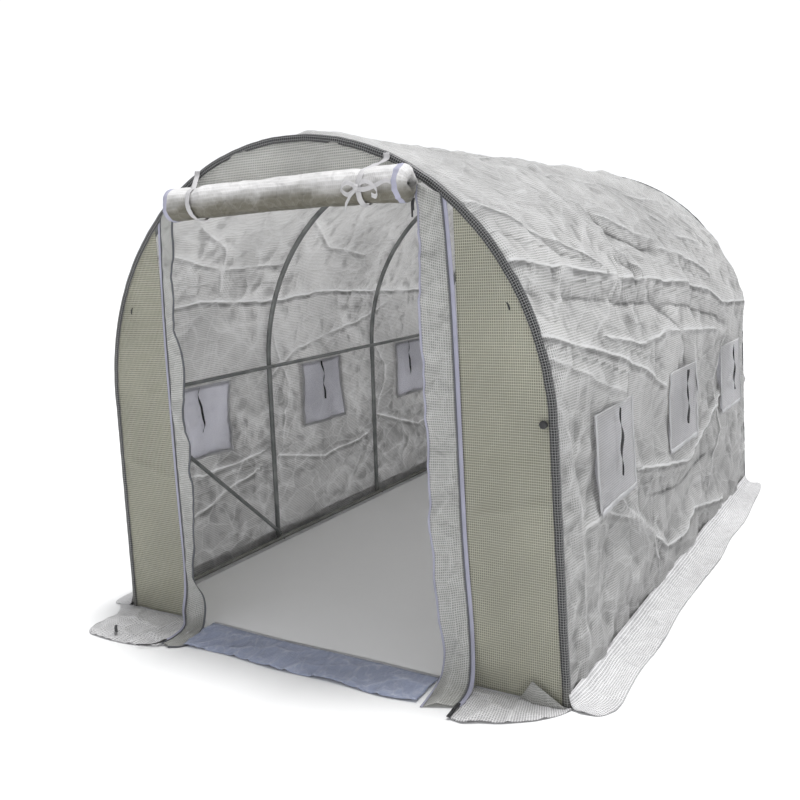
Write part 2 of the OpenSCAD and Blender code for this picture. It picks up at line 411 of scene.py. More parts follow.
@dataclass(frozen=True)
class ClothRun:
    """One run of the cloth solver, in which a slightly oversize film buckles on its supports.

    Attributes:
        frames: How many frames it runs.
        growth: How much larger the film is than its place.
        bending: Stiffness against folding.
        stiffness: Stiffness against stretching.
        weight: Share of gravity that acts.
    """

    frames: int = 14
    growth: float = 0.010
    bending: float = 0.6
    stiffness: float = 18.0
    weight: float = 0.05

    def settle(self, points: Array, flat: Array, hold: Array, flip: bool = False) -> Array:
        """Runs the cloth on a sheet of one layer.

        Args:
            points: The sheet's places before it settles.
            flat: Its flat sizes.
            hold: How firmly each point is held in place, from 0 to 1.
            flip: Turns the sheet's faces to the other side.

        Returns:
            The settled places.
        """
        draft = grid_mesh("draft", points, flat, flip=flip)
        self.run(draft, np.round(np.clip(hold.ravel(), 0.0, 1.0), 2))
        settled = vertex_places(draft).reshape(points.shape)
        remove(draft)
        return settled

    def run(self, draft: Piece, levels: Array) -> None:
        """Runs the cloth on a draft and applies the result.

        Args:
            draft: The draft's mesh.
            levels: How firmly each of its vertices is held.
        """
        group = draft.vertex_groups.new(name="held")
        for level in np.unique(levels):
            group.add(np.flatnonzero(levels == level).tolist(), float(level), "REPLACE")
        cloth = draft.modifiers.new("Cloth", "CLOTH")
        settings = cloth.settings
        settings.quality = 4
        settings.mass = 0.08
        settings.air_damping = 2.0
        settings.tension_stiffness = self.stiffness
        settings.compression_stiffness = self.stiffness
        settings.shear_stiffness = self.stiffness / 3
        settings.bending_stiffness = self.bending
        settings.vertex_group_mass = group.name
        settings.pin_stiffness = 1.2
        settings.shrink_min = -self.growth
        settings.effector_weights.gravity = self.weight
        cloth.collision_settings.use_collision = False
        cloth.collision_settings.use_self_collision = False
        cloth.point_cache.frame_start = 1
        cloth.point_cache.frame_end = self.frames
        for step in range(1, self.frames + 1):
            bpy.context.scene.frame_set(step)
        apply_modifier(draft, cloth)
        bpy.context.scene.frame_set(1)


# ---- Shader nodes ----


class NodeBench:
    """Adds and links nodes in one node tree."""

    def __init__(self, tree: NodeTree) -> None:
        """Keeps the tree that the nodes go into."""
        self.tree = tree

    def add(self, kind: str, **settings: object) -> Node:
        """Adds a node and sets its properties.

        Args:
            kind: The node's type.
            settings: Property names and values.

        Returns:
            The new node.
        """
        node = self.tree.nodes.new(kind)
        for key, value in settings.items():
            setattr(node, key, value)
        return node

    def feed(self, socket: Socket, value: object) -> None:
        """Links a socket into an input, or sets the input to a plain value.

        Args:
            socket: The input.
            value: An output socket, a number, or a colour of 3 numbers.
        """
        if isinstance(value, Socket):
            self.tree.links.new(value, socket)
        elif isinstance(value, tuple) and socket.type == "RGBA":
            socket.default_value = (*value, 1.0)
        else:
            socket.default_value = value

    def math(self, operation: str, a: object, b: object = 0.0, clamp: bool = False) -> Socket:
        """One arithmetic step on two sockets or numbers.

        Args:
            operation: The Math node's operation.
            a: First operand.
            b: Second operand.
            clamp: Keeps the result from 0 to 1.

        Returns:
            The result's socket.
        """
        node = self.add("ShaderNodeMath", operation=operation, use_clamp=clamp)
        self.feed(node.inputs[0], a)
        self.feed(node.inputs[1], b)
        return node.outputs[0]

    def plus(self, a: object, b: object, clamp: bool = False) -> Socket:
        """Adds two values."""
        return self.math("ADD", a, b, clamp)

    def times(self, a: object, b: object) -> Socket:
        """Multiplies two values."""
        return self.math("MULTIPLY", a, b)

    def split(self, vector: Socket) -> Sequence[Socket]:
        """The three parts of a vector."""
        node = self.add("ShaderNodeSeparateXYZ")
        self.feed(node.inputs[0], vector)
        return node.outputs

    def stretch(self, vector: Socket, factors: Point) -> Socket:
        """A vector with each of its parts multiplied by a factor of its own."""
        node = self.add("ShaderNodeVectorMath", operation="MULTIPLY")
        self.feed(node.inputs[0], vector)
        node.inputs[1].default_value = factors
        return node.outputs[0]

    def cloud(
        self, vector: Socket, scale: object, detail: float = 2.0, kind: str = "FBM"
    ) -> Node:
        """A noise texture.

        Args:
            vector: Where it is drawn.
            scale: How many of its clouds fit into a metre.
            detail: How many finer levels it has.
            kind: The Noise Texture node's type.

        Returns:
            The texture's node.
        """
        node = self.add("ShaderNodeTexNoise", noise_type=kind)
        self.feed(node.inputs["Vector"], vector)
        self.feed(node.inputs["Scale"], scale)
        node.inputs["Detail"].default_value = detail
        return node

    def blend(self, share: object, first: object, second: object) -> Socket:
        """Mixes two shaders; the share is the second one's."""
        node = self.add("ShaderNodeMixShader")
        for socket, item in zip(node.inputs, (share, first, second)):
            self.feed(socket, item)
        return node.outputs[0]

    def ramp(
        self, value: object, low: object, high: object, to_low: float = 0.0, to_high: float = 1.0
    ) -> Socket:
        """Maps a value smoothly from one range to another, held at both ends.

        Args:
            value: What is mapped.
            low: Start of its range.
            high: End of its range.
            to_low: Result at the start.
            to_high: Result at the end.

        Returns:
            The result's socket.
        """
        node = self.add("ShaderNodeMapRange", interpolation_type="SMOOTHSTEP")
        for socket, item in zip(node.inputs, (value, low, high, to_low, to_high)):
            self.feed(socket, item)
        return node.outputs[0]

    def mix(self, factor: object, a: object, b: object, blend: str = "MIX") -> Socket:
        """Mixes two colours.

        Args:
            factor: Share of the second colour.
            a: First colour.
            b: Second colour.
            blend: The blend type.

        Returns:
            The mixed colour's socket.
        """
        node = self.add("ShaderNodeMix", data_type="RGBA", blend_type=blend)
        self.feed(node.inputs[0], factor)
        self.feed(node.inputs[6], a)
        self.feed(node.inputs[7], b)
        return node.outputs[2]

    def group(self, tree: NodeTree, **values: object) -> Node:
        """Places a node group and feeds its named inputs.

        Args:
            tree: The group's tree.
            values: Input names, with a space written as an underscore, and what feeds them.

        Returns:
            The group node.
        """
        node = self.add("ShaderNodeGroup")
        node.node_tree = tree
        for key, value in values.items():
            self.feed(node.inputs[key.replace("_", " ")], value)
        return node


def new_group(
    name: str, numbers: dict[str, float], outputs: Sequence[str]
) -> tuple[NodeBench, Node, Node]:
    """Starts a shader node group that is drawn at the places of its Vector input.

    Args:
        name: The group's name.
        numbers: Its number inputs, with what each of them is at first.
        outputs: Names of the number outputs.

    Returns:
        The bench of its tree, and its input and output nodes.
    """
    tree = bpy.data.node_groups.new(name, "ShaderNodeTree")
    tree.interface.new_socket(name="Vector", in_out="INPUT", socket_type="NodeSocketVector")
    for label, start in numbers.items():
        socket = tree.interface.new_socket(name=label, in_out="INPUT", socket_type="NodeSocketFloat")
        socket.default_value = start
    for label in outputs:
        tree.interface.new_socket(name=label, in_out="OUTPUT", socket_type="NodeSocketFloat")
    bench = NodeBench(tree)
    return bench, bench.add("NodeGroupInput"), bench.add("NodeGroupOutput")


def thread_grid_group() -> NodeTree:
    """Square grid of reinforcing threads, drawn in the sheet's own flat size.

    Returns:
        A group that puts out the threads' mask and their height.
    """
    bench, given, out = new_group(
        "thread_grid", {"Across": 0.0078, "Along": 0.0090, "Share": 0.36}, ["Thread", "Height"]
    )
    inner = bench.times(given.outputs["Share"], 0.36)
    outer = bench.times(given.outputs["Share"], 0.64)
    masks = []
    for axis, pitch in zip(bench.split(given.outputs["Vector"]), ("Across", "Along")):
        cells = bench.math("DIVIDE", axis, given.outputs[pitch])
        masks.append(bench.ramp(bench.math("PINGPONG", cells, 0.5), inner, outer, 1.0, 0.0))
    bench.feed(out.inputs["Thread"], bench.math("MAXIMUM", *masks))
    bench.feed(out.inputs["Height"], bench.plus(*masks))
    return bench.tree


def crumple_group() -> NodeTree:
    """Fine creases of stiff film: slanting streaks and sharp facet borders over soft dents.

    Returns:
        A group that puts out a height and a mask of the crests, where the film gets painted highlight.
    """
    bench, given, out = new_group("film_crumple", {"Size": 0.12}, ["Height", "Crest"])
    scale = bench.math("DIVIDE", 1.0, given.outputs["Size"])
    drawn = bench.stretch(given.outputs["Vector"], (1.0, 0.6, 1.0))
    dents = bench.cloud(drawn, bench.times(scale, 1.5), 3.0)
    shifted = bench.add("ShaderNodeVectorMath", operation="MULTIPLY_ADD")
    bench.feed(shifted.inputs[0], dents.outputs["Color"])
    shifted.inputs[1].default_value = (0.10, 0.10, 0.10)
    bench.feed(shifted.inputs[2], drawn)
    slanted = bench.add("ShaderNodeVectorRotate", rotation_type="X_AXIS")
    bench.feed(slanted.inputs["Vector"], shifted.outputs[0])
    slanted.inputs["Angle"].default_value = 0.5
    drawn_out = bench.stretch(slanted.outputs[0], (1.0, 0.45, 1.3))
    streaks = bench.cloud(drawn_out, bench.times(scale, 1.1), 2.5, "RIDGED_MULTIFRACTAL")
    height = bench.plus(bench.times(dents.outputs["Fac"], 0.10), bench.times(streaks.outputs["Fac"], 0.055))
    crest = 0.0
    for finer, share in ((1.0, 0.36), (2.7, 0.12)):
        facets = bench.add("ShaderNodeTexVoronoi", feature="DISTANCE_TO_EDGE")
        bench.feed(facets.inputs["Vector"], shifted.outputs[0])
        bench.feed(facets.inputs["Scale"], bench.times(scale, finer))
        edge = facets.outputs["Distance"]
        height = bench.math("SUBTRACT", height, bench.times(edge, share))
        crest = bench.math("MAXIMUM", crest, bench.ramp(edge, 0.0, 0.02 * finer, 1.0, 0.0))
    bench.feed(out.inputs["Height"], height)
    bench.feed(out.inputs["Crest"], crest)
    return bench.tree


def drift_group() -> NodeTree:
    """Slow change of tone over a surface, for haze, soiling and uneven paint.

    Returns:
        A group that puts out a factor between its low and high inputs.
    """
    bench, given, out = new_group("tone_drift", {"Size": 0.4, "Low": 0.9, "High": 1.05}, ["Factor"])
    haze = bench.cloud(given.outputs["Vector"], bench.math("DIVIDE", 1.0, given.outputs["Size"]), 5.0)
    share = bench.ramp(haze.outputs["Fac"], 0.3, 0.7)
    span = bench.math("SUBTRACT", given.outputs["High"], given.outputs["Low"])
    bench.feed(out.inputs["Factor"], bench.plus(bench.times(share, span), given.outputs["Low"]))
    return bench.tree


def fold_group() -> NodeTree:
    """Sharp line of a fold: a cusp in the relief, a painted highlight on its crest and painted shade under
    it.

    Returns:
        A group that puts out a height in metres and masks for shade and light.
    """
    bench, given, out = new_group("fold_line", {"Line": 0.2, "Force": 0.0}, ["Height", "Shade", "Light"])
    waver = bench.cloud(given.outputs["Vector"], 6.0).outputs["Fac"]
    line = bench.plus(given.outputs["Line"], bench.times(bench.math("SUBTRACT", waver, 0.5), 0.016))
    away = bench.math("ABSOLUTE", line)
    force = bench.times(given.outputs["Force"], bench.ramp(waver, 0.30, 0.55, 0.35, 1.0))
    rise = bench.math("MAXIMUM", force, 0.0)
    sink = bench.math("MAXIMUM", bench.times(force, -1.0), 0.0)
    # Painted shade below the fold line and in grooves, painted highlight along the crest.
    under = bench.times(bench.ramp(line, -0.034, -0.012), bench.ramp(line, -0.006, 0.0, 1.0, 0.0))
    groove = bench.ramp(away, 0.003, 0.010, 1.0, 0.0)
    shade = bench.plus(bench.times(under, rise), bench.times(groove, sink))
    crest = bench.ramp(bench.math("ABSOLUTE", bench.math("SUBTRACT", line, 0.004)), 0.001, 0.007, 1.0, 0.0)
    cusp = bench.ramp(away, 0.0, 0.020, 0.010, 0.0)
    bench.feed(out.inputs["Height"], bench.times(cusp, force))
    bench.feed(out.inputs["Shade"], bench.times(shade, 0.52))
    bench.feed(out.inputs["Light"], bench.times(bench.times(crest, rise), 0.85))
    return bench.tree


def near_ground_group() -> NodeTree:
    """Splashed soil near the ground, patchy at its upper edge.

    Returns:
        A group that puts out a mask.
    """
    bench, given, out = new_group("ground_splash", {"Height": 0.15}, ["Mask"])
    patches = bench.cloud(given.outputs["Vector"], 14.0, 6.0)
    level = bench.math("DIVIDE", bench.split(given.outputs["Vector"])[2], given.outputs["Height"])
    patchy = bench.plus(level, bench.times(patches.outputs["Fac"], 0.9))
    bench.feed(out.inputs["Mask"], bench.ramp(patchy, 0.35, 1.25, 1.0, 0.0))
    return bench.tree


class Effects:
    """The shared node groups, built once."""

    def __init__(self) -> None:
        """Builds the groups."""
        self.threads = thread_grid_group()
        self.crumple = crumple_group()
        self.fold = fold_group()
        self.drift = drift_group()
        self.splash = near_ground_group()


def new_material(name: str) -> tuple[Material, NodeBench, Node, Node]:
    """Starts a node material.

    Args:
        name: The material's name.

    Returns:
        The material, its bench, its main shader and its coordinate node.
    """
    material = bpy.data.materials.new(name)
    material.use_nodes = True
    material.node_tree.nodes.clear()
    bench = NodeBench(material.node_tree)
    return material, bench, bench.add("ShaderNodeBsdfPrincipled"), bench.add("ShaderNodeTexCoord")


def add_bump(bench: NodeBench, shader: Node, height: object, strength: float, depth: float) -> None:
    """Feeds a height into a shader's normal.

    Args:
        bench: The material's bench.
        shader: Its main shader.
        height: The height.
        strength: Strength of the relief.
        depth: How deep a height of 1 is.
    """
    bump = bench.add("ShaderNodeBump")
    bump.inputs["Strength"].default_value = strength
    bump.inputs["Distance"].default_value = depth
    bench.feed(bump.inputs["Height"], height)
    bench.feed(shader.inputs["Normal"], bump.outputs[0])


def add_glow(
    bench: NodeBench, shader: Node, colour: Socket, share: float
) -> Socket:
    """Lets a share of the light softly through a thin sheet.

    Args:
        bench: The material's bench.
        shader: Its main shader.
        colour: The sheet's colour.
        share: The share of the light.

    Returns:
        The mixed shader's socket.
    """
    behind = bench.add("ShaderNodeBsdfTranslucent")
    bench.feed(behind.inputs["Color"], colour)
    return bench.blend(share, shader.outputs[0], behind.outputs[0])


def finish_material(bench: NodeBench, shader: Socket) -> None:
    """Links the last shader to the material's output."""
    bench.feed(bench.add("ShaderNodeOutputMaterial").inputs["Surface"], shader)


SOIL = (0.30, 0.29, 0.24)
THREAD_HEIGHT = 0.0004


@dataclass(frozen=True)
class FilmFinish:
    """Clear film with a grid of white reinforcing threads.

    Attributes:
        name: The material's name.
        thread: Colour of the threads.
        gap: Colour of the film between them.
        gap_alpha: How much the film between the threads hides.
        thread_alpha: How much the threads hide.
        glow: Share of the light that the film lets through softly.
        roughness: Roughness of the film's gloss.
        across: Distance between the threads that cross the flat width.
        along: Distance between the threads that cross the flat length.
        share: Width of a thread, as a share of the pitch.
        crease: Depth of the fine creases.
        crease_size: Size of the largest of them.
        soil: How strongly soil shows near the ground.
        hollow: How much painted shade darkens the hollows of its folds.
        ridge: How much painted highlight whitens the ridges of its folds and the crests of its fine creases.
        foot_tone: How much darker it looks near the ground.
        under: Colour of the painted shade on its underside, if it has one.
        under_z: Height where that painted shade begins.
    """

    name: str
    thread: Colour
    gap: Colour
    gap_alpha: float
    thread_alpha: float = 1.0
    glow: float = 0.4
    roughness: float = 0.38
    across: float = 0.0078
    along: float = 0.0090
    share: float = 0.36
    crease: float = 0.012
    crease_size: float = 0.30
    soil: float = 0.25
    hollow: float = 0.16
    ridge: float = 0.18
    foot_tone: float = 1.0
    under: Optional[Colour] = None
    under_z: float = 0.0

    def make(self, effects: Effects) -> Material:
        """Builds the material.

        Args:
            effects: The shared node groups.

        Returns:
            The material.
        """
        material, bench, shader, places = new_material(self.name)
        flat, space = places.outputs["UV"], places.outputs["Object"]
        grid = bench.group(effects.threads, Vector=flat, Across=self.across, Along=self.along,
                           Share=self.share)
        drift = bench.group(effects.drift, Vector=space, Size=0.5, Low=0.90, High=1.06)
        splash = bench.group(effects.splash, Vector=space, Height=0.16)
        colour = bench.mix(grid.outputs["Thread"], self.gap, self.thread)
        colour = bench.mix(1.0, colour, drift.outputs["Factor"], "MULTIPLY")
        colour = bench.mix(bench.times(splash.outputs["Mask"], self.soil), colour, SOIL)
        colour = self.tint_by_height(bench, effects, space, colour)
        relief, line, force = (bench.add("ShaderNodeAttribute", attribute_name=label).outputs["Fac"]
                               for label in ("relief", "fold_line", "fold_force"))
        fold = bench.group(effects.fold, Vector=space, Line=line, Force=force)
        creases = bench.group(effects.crumple, Vector=space, Size=self.crease_size)
        # Painted shade in fold hollows and under fold lines, painted highlight on ridges, fold crests and
        # crease crests.
        hollow = bench.plus(bench.ramp(relief, -0.05, -0.9, 0.0, self.hollow), fold.outputs["Shade"], True)
        light = bench.plus(bench.ramp(relief, 0.10, 0.9, 0.0, self.ridge), fold.outputs["Light"])
        crest = bench.times(creases.outputs["Crest"], self.ridge)
        colour = bench.mix(hollow, colour, (0.08, 0.08, 0.08))
        colour = bench.mix(bench.plus(light, crest, True), colour, (0.98, 0.98, 0.98))
        height = bench.plus(bench.times(creases.outputs["Height"], self.crease),
                            bench.times(grid.outputs["Height"], THREAD_HEIGHT))
        bench.feed(shader.inputs["Base Color"], colour)
        shader.inputs["Roughness"].default_value = self.roughness
        shader.inputs["Specular IOR Level"].default_value = 0.45
        add_bump(bench, shader, bench.plus(height, fold.outputs["Height"]), 1.0, 1.0)
        body = add_glow(bench, shader, colour, self.glow)
        if self.gap_alpha < 1.0:
            alpha = bench.ramp(grid.outputs["Thread"], 0.0, 1.0, self.gap_alpha, self.thread_alpha)
            body = bench.blend(alpha, bench.add("ShaderNodeBsdfTransparent").outputs[0], body)
        finish_material(bench, body)
        return material

    def tint_by_height(
        self, bench: NodeBench, effects: Effects, space: Socket, colour: Socket
    ) -> Socket:
        """Darkens the film near the ground and paints shade on its underside, where it has these.

        Args:
            bench: The material's bench.
            effects: The shared node groups.
            space: Where the film is.
            colour: The film's colour.

        Returns:
            The changed colour's socket.
        """
        height = bench.split(space)[2]
        if self.foot_tone < 1.0:
            colour = bench.mix(1.0, colour, bench.ramp(height, 0.3, 1.35, self.foot_tone, 1.0), "MULTIPLY")
        # Painted shade over the film's underside, below under_z.
        if self.under is not None:
            patch = bench.group(effects.drift, Vector=space, Size=0.10, Low=-0.010, High=0.012)
            level = bench.plus(height, patch.outputs["Factor"])
            shade = bench.ramp(level, self.under_z - 0.026, self.under_z + 0.044, 0.95, 0.0)
            colour = bench.mix(shade, colour, self.under)
        return colour


@dataclass(frozen=True)
class TubeFinish:
    """Grey painted steel tube with faint mottling and soil at its foot."""

    name: str = "painted_tube"
    paint: Colour = (0.175, 0.185, 0.185)
    light: Colour = (0.30, 0.31, 0.305)
    speck: Colour = (0.33, 0.33, 0.32)
    soil: Colour = (0.20, 0.18, 0.14)

    def make(self, effects: Effects) -> Material:
        """Builds the material.

        Args:
            effects: The shared node groups.

        Returns:
            The material.
        """
        material, bench, shader, places = new_material(self.name)
        space = places.outputs["Object"]
        drift = bench.group(effects.drift, Vector=space, Size=0.09, Low=0.0, High=1.0)
        splash = bench.group(effects.splash, Vector=space, Height=0.10)
        grain = bench.cloud(space, 420.0, 3.0).outputs["Fac"]
        colour = bench.mix(drift.outputs["Factor"], self.paint, self.light)
        colour = bench.mix(bench.ramp(grain, 0.62, 0.72, 0.0, 0.35), colour, self.speck)
        colour = bench.mix(bench.times(splash.outputs["Mask"], 0.5), colour, self.soil)
        bench.feed(shader.inputs["Base Color"], colour)
        bench.feed(shader.inputs["Roughness"], bench.ramp(drift.outputs["Factor"], 0.0, 1.0, 0.36, 0.52))
        shader.inputs["Metallic"].default_value = 0.35
        add_bump(bench, shader, grain, 0.12, 0.0004)
        finish_material(bench, shader.outputs[0])
        return material


@dataclass(frozen=True)
class RibbedFinish:
    """Woven tape or webbing with fine ribs across it.

    Attributes:
        name: The material's name.
        colour: Its colour.
        shade: Its colour between the ribs.
        rib: Distance between ribs.
        roughness: Its roughness.
        glow: Share of the light that it lets through.
    """

    name: str
    colour: Colour
    shade: Colour
    rib: float = 0.0022
    roughness: float = 0.62
    glow: float = 0.0

    def make(self, effects: Effects) -> Material:
        """Builds the material.

        Args:
            effects: The shared node groups.

        Returns:
            The material.
        """
        material, bench, shader, places = new_material(self.name)
        flat, space = places.outputs["UV"], places.outputs["Object"]
        ribs = bench.group(effects.threads, Vector=flat, Across=self.rib, Along=self.rib, Share=0.6)
        drift = bench.group(effects.drift, Vector=space, Size=0.12, Low=0.88, High=1.06)
        colour = bench.mix(ribs.outputs["Thread"], self.shade, self.colour)
        colour = bench.mix(1.0, colour, drift.outputs["Factor"], "MULTIPLY")
        bench.feed(shader.inputs["Base Color"], colour)
        shader.inputs["Roughness"].default_value = self.roughness
        add_bump(bench, shader, ribs.outputs["Height"], 0.5, 0.0004)
        body = add_glow(bench, shader, colour, self.glow) if self.glow else shader.outputs[0]
        finish_material(bench, body)
        return material


@dataclass(frozen=True)
class PlasticFinish:
    """Matt black plastic with a fine moulded grain."""

    name: str = "black_plastic"
    colour: Colour = (0.012, 0.012, 0.014)
    worn: Colour = (0.04, 0.04, 0.042)

    def make(self, effects: Effects) -> Material:
        """Builds the material.

        Args:
            effects: The shared node groups.

        Returns:
            The material.
        """
        material, bench, shader, places = new_material(self.name)
        space = places.outputs["Object"]
        drift = bench.group(effects.drift, Vector=space, Size=0.02, Low=0.0, High=1.0)
        bench.feed(shader.inputs["Base Color"], bench.mix(drift.outputs["Factor"], self.colour, self.worn))
        shader.inputs["Roughness"].default_value = 0.5
        add_bump(bench, shader, bench.cloud(space, 900.0).outputs["Fac"], 0.2, 0.0003)
        finish_material(bench, shader.outputs[0])
        return material


class Finishes:
    """Every material of the tunnel, by what it covers."""

    def __init__(self) -> None:
        """Builds the materials."""
        effects = Effects()
        roll_low, roll_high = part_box("door_roll")
        self.cover = FilmFinish(
            "cover_film", (0.98, 0.975, 0.975), (0.54, 0.54, 0.525), 1.0, glow=0.58, crease=0.22, soil=0.05,
            hollow=0.22, ridge=0.28, foot_tone=0.84).make(effects)
        self.front = FilmFinish(
            "front_film", (0.73, 0.72, 0.615), (0.38, 0.38, 0.30), 0.66, 0.96, glow=0.46, share=0.25,
            crease=0.03, ridge=0.04).make(effects)
        # Near-black seam film: painted shade where the end hoops show dark through the film.
        self.sleeve = FilmFinish(
            "hoop_sleeve", (0.40, 0.40, 0.40), (0.016, 0.017, 0.018), 1.0, glow=0.03, share=0.13,
            crease=0.01, ridge=0.0, hollow=0.0).make(effects)
        self.gable = FilmFinish(
            "gable_film", (0.84, 0.84, 0.81), (0.60, 0.60, 0.58), 0.62, glow=0.58, crease=0.04).make(effects)
        self.strip = FilmFinish(
            "strip_film", (0.79, 0.79, 0.775), (0.46, 0.465, 0.44), 0.82, glow=0.40, crease=0.07,
            crease_size=0.14).make(effects)
        # The roll's lower half is darkened with painted shade.
        self.roll = FilmFinish(
            "roll_film", (0.88, 0.87, 0.87), (0.76, 0.75, 0.74), 1.0, glow=0.10, crease=0.07,
            crease_size=0.16, ridge=0.05, under=(0.115, 0.105, 0.070),
            under_z=(roll_low.z + roll_high.z) / 2).make(effects)
        self.flap = FilmFinish(
            "flap_film", (0.96, 0.955, 0.96), (0.66, 0.66, 0.665), 1.0, glow=0.72, crease=0.04,
            crease_size=0.14).make(effects)
        self.screen = FilmFinish(
            "screen_film", (0.90, 0.90, 0.93), (0.80, 0.80, 0.85), 0.80, glow=0.75, crease=0.02,
            across=0.0024, along=0.0024).make(effects)
        self.skirt = FilmFinish(
            "skirt_film", (0.93, 0.925, 0.935), (0.40, 0.395, 0.405), 1.0, glow=0.16, soil=0.08, crease=0.05,
            crease_size=0.16).make(effects)
        self.sill = FilmFinish(
            "sill_film", (0.43, 0.475, 0.63), (0.33, 0.375, 0.52), 1.0, glow=0.10, soil=0.04, crease=0.05,
            crease_size=0.14).make(effects)
        self.tube = TubeFinish().make(effects)
        self.plastic = PlasticFinish().make(effects)
        self.zip = RibbedFinish("zip_tape", (0.52, 0.52, 0.64), (0.38, 0.38, 0.50), glow=0.15).make(effects)
        # The coil's near-black colour is painted shadow along the zip tape; the left strip's trim uses it
        # too.
        self.zip_coil = RibbedFinish(
            "zip_coil", (0.14, 0.145, 0.16), (0.06, 0.062, 0.075), 0.0016).make(effects)
        self.hem = RibbedFinish("white_hem", (0.80, 0.80, 0.81), (0.68, 0.68, 0.70), glow=0.5).make(effects)
        self.ribbon = RibbedFinish(
            "tie_ribbon", (0.74, 0.73, 0.74), (0.62, 0.61, 0.63), glow=0.2).make(effects)


def dress(piece: Piece, slot: str, *materials: Material) -> None:
    """Adds a piece's given materials and lets it ride on the tunnel.

    Args:
        piece: The piece.
        slot: Name of its material slot in the record; not used.
        materials: Its materials, if it has none yet.
    """
    for material in materials:
        piece.data.materials.append(material)
    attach(piece, "root")


# ---- The tunnel's own shape ----


@dataclass(frozen=True)
class TunnelShape:
    """Cross-section and length of the tunnel, read from the frame.

    Attributes:
        tube_r: Radius of a hoop tube.
        arc_radius: Radius of the arc, to the middle of the tube.
        leg_height: Height of the straight legs.
        foot_x: Distance of a foot's middle from the tunnel's middle.
        hoop_ys: Place of each hoop along the tunnel.
        film_offset: Distance of the film's middle from the middle of the tube.
    """

    tube_r: float
    arc_radius: float
    leg_height: float
    foot_x: float
    hoop_ys: tuple[float, ...]
    film_offset: float

    @classmethod
    def from_frame(cls) -> "TunnelShape":
        """Reads the shape from the boxes of the hoops and the cover."""
        ys = []
        for word in ("front", "second", "third", "back"):
            low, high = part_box(f"hoop_{word}_arc")
            ys.append((low.y + high.y) / 2)
        tube_r = (high.y - low.y) / 2
        foot_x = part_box("hoop_front_legs")[1].x - tube_r
        panel_low, panel_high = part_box("front_panel_top")
        film_offset = ys[0] - (panel_low.y + panel_high.y) / 2
        return cls(tube_r, high.x - tube_r, low.z, foot_x, tuple(ys), film_offset)

    @property
    def front(self) -> float:
        """Y of the front film."""
        return self.hoop_ys[0] - self.film_offset

    @property
    def back(self) -> float:
        """Y of the back film."""
        return self.hoop_ys[-1] + self.film_offset

    @property
    def film_radius(self) -> float:
        """Radius of the film over the arc."""
        return self.arc_radius + self.film_offset

    @property
    def wall_length(self) -> float:
        """Length of the film from the ground to the arc."""
        return math.hypot(self.leg_height, self.foot_x - self.arc_radius)

    @property
    def girth(self) -> float:
        """Length of the film from the left foot over the arc to the right foot."""
        return 2 * self.wall_length + math.pi * self.film_radius

    @property
    def top(self) -> float:
        """Height of the film at its highest."""
        return self.leg_height + self.film_radius

    def climbed(self, side: Side, up: Array) -> Array:
        """Distances from the left foot of places at these heights over one side's film."""
        return up if side is Side.LEFT else self.girth - up

    def half_width(self, z: Array) -> Array:
        """Half the film's width at each height.

        Args:
            z: The heights.

        Returns:
            One width for each height.
        """
        z = np.asarray(z, float)
        wall = self.foot_x + self.film_offset - z / self.leg_height * (self.foot_x - self.arc_radius)
        rise = np.clip(z - self.leg_height, 0.0, self.film_radius)
        return np.where(z < self.leg_height, wall, np.sqrt(self.film_radius**2 - rise**2))

    def surface(self, girth: Array, y: Array) -> tuple[Array, Array]:
        """Places on the smooth film and its outward normals.

        Args:
            girth: Distance from the left foot, over the film.
            y: Place along the tunnel.

        Returns:
            The places and the normals, each with 3 numbers on the last axis.
        """
        girth, y = np.broadcast_arrays(np.asarray(girth, float), np.asarray(y, float))
        right = girth > self.girth / 2
        up = np.where(right, self.girth - girth, girth)
        sign = np.where(right, 1.0, -1.0)
        lean = (self.foot_x - self.arc_radius) / self.wall_length
        steep = self.leg_height / self.wall_length
        on_wall = up < self.wall_length
        angle = (up - self.wall_length) / self.film_radius
        x = np.where(on_wall, self.foot_x + self.film_offset - up * lean, self.film_radius * np.cos(angle))
        z = np.where(on_wall, up * steep, self.leg_height + self.film_radius * np.sin(angle))
        normals = [sign * np.where(on_wall, steep, np.cos(angle)), np.zeros_like(x),
                   np.where(on_wall, lean, np.sin(angle))]
        return np.stack([sign * x, y, z], -1), np.stack(normals, -1)


@dataclass(frozen=True)
class Fold:
    """A fold that stands out of the film, or runs into it if its height is below 0.

    Attributes:
        line: Its course, as (distance behind the front hoop, height over the film from the ground).
        height: How far it stands out.
        above: How far it reaches upwards.
        below: How far it reaches downwards.
    """

    line: tuple[Pair, ...]
    height: float
    above: float
    below: float

    def measure(self, along: Array, up: Array) -> tuple[Array, Array]:
        """Distance of each place from the fold's line, below 0 on its lower side.

        Args:
            along: Distances behind the front hoop.
            up: Heights over the film.

        Returns:
            One distance for each place, and how far the place is past the fold's ends.
        """
        nearest, past = np.full(along.shape, np.inf), np.zeros(along.shape)
        for (a0, u0), (a1, u1) in zip(self.line, self.line[1:]):
            da, du = a1 - a0, u1 - u0
            share = np.clip(((along - a0) * da + (up - u0) * du) / (da * da + du * du), 0.0, 1.0)
            distance = np.hypot(along - a0 - share * da, up - u0 - share * du)
            side = (da * (up - u0) - du * (along - a0)) / math.hypot(da, du)
            closer = distance < np.abs(nearest)
            nearest = np.where(closer, np.where(side >= 0.0, distance, -distance), nearest)
            past = np.where(closer, np.sqrt(np.maximum(distance**2 - side**2, 0.0)), past)
        return nearest, past

    def lift(self, distance: Array) -> Array:
        """How far the fold lifts each place.

        Args:
            distance: The places' distances from its line.

        Returns:
            One lift for each place.
        """
        reach = np.where(distance > 0.0, self.above, self.below)
        rounded = np.hypot(distance, FOLD_ROUNDING) - FOLD_ROUNDING
        return self.height * np.exp(-rounded / reach)


FOLD_ROUNDING = 0.012
FOLD_FADE = 0.12
LINE_FADE = 0.04
LINE_CLEARANCE = 0.03
FULL_FOLD = 0.022
FAR = 0.2

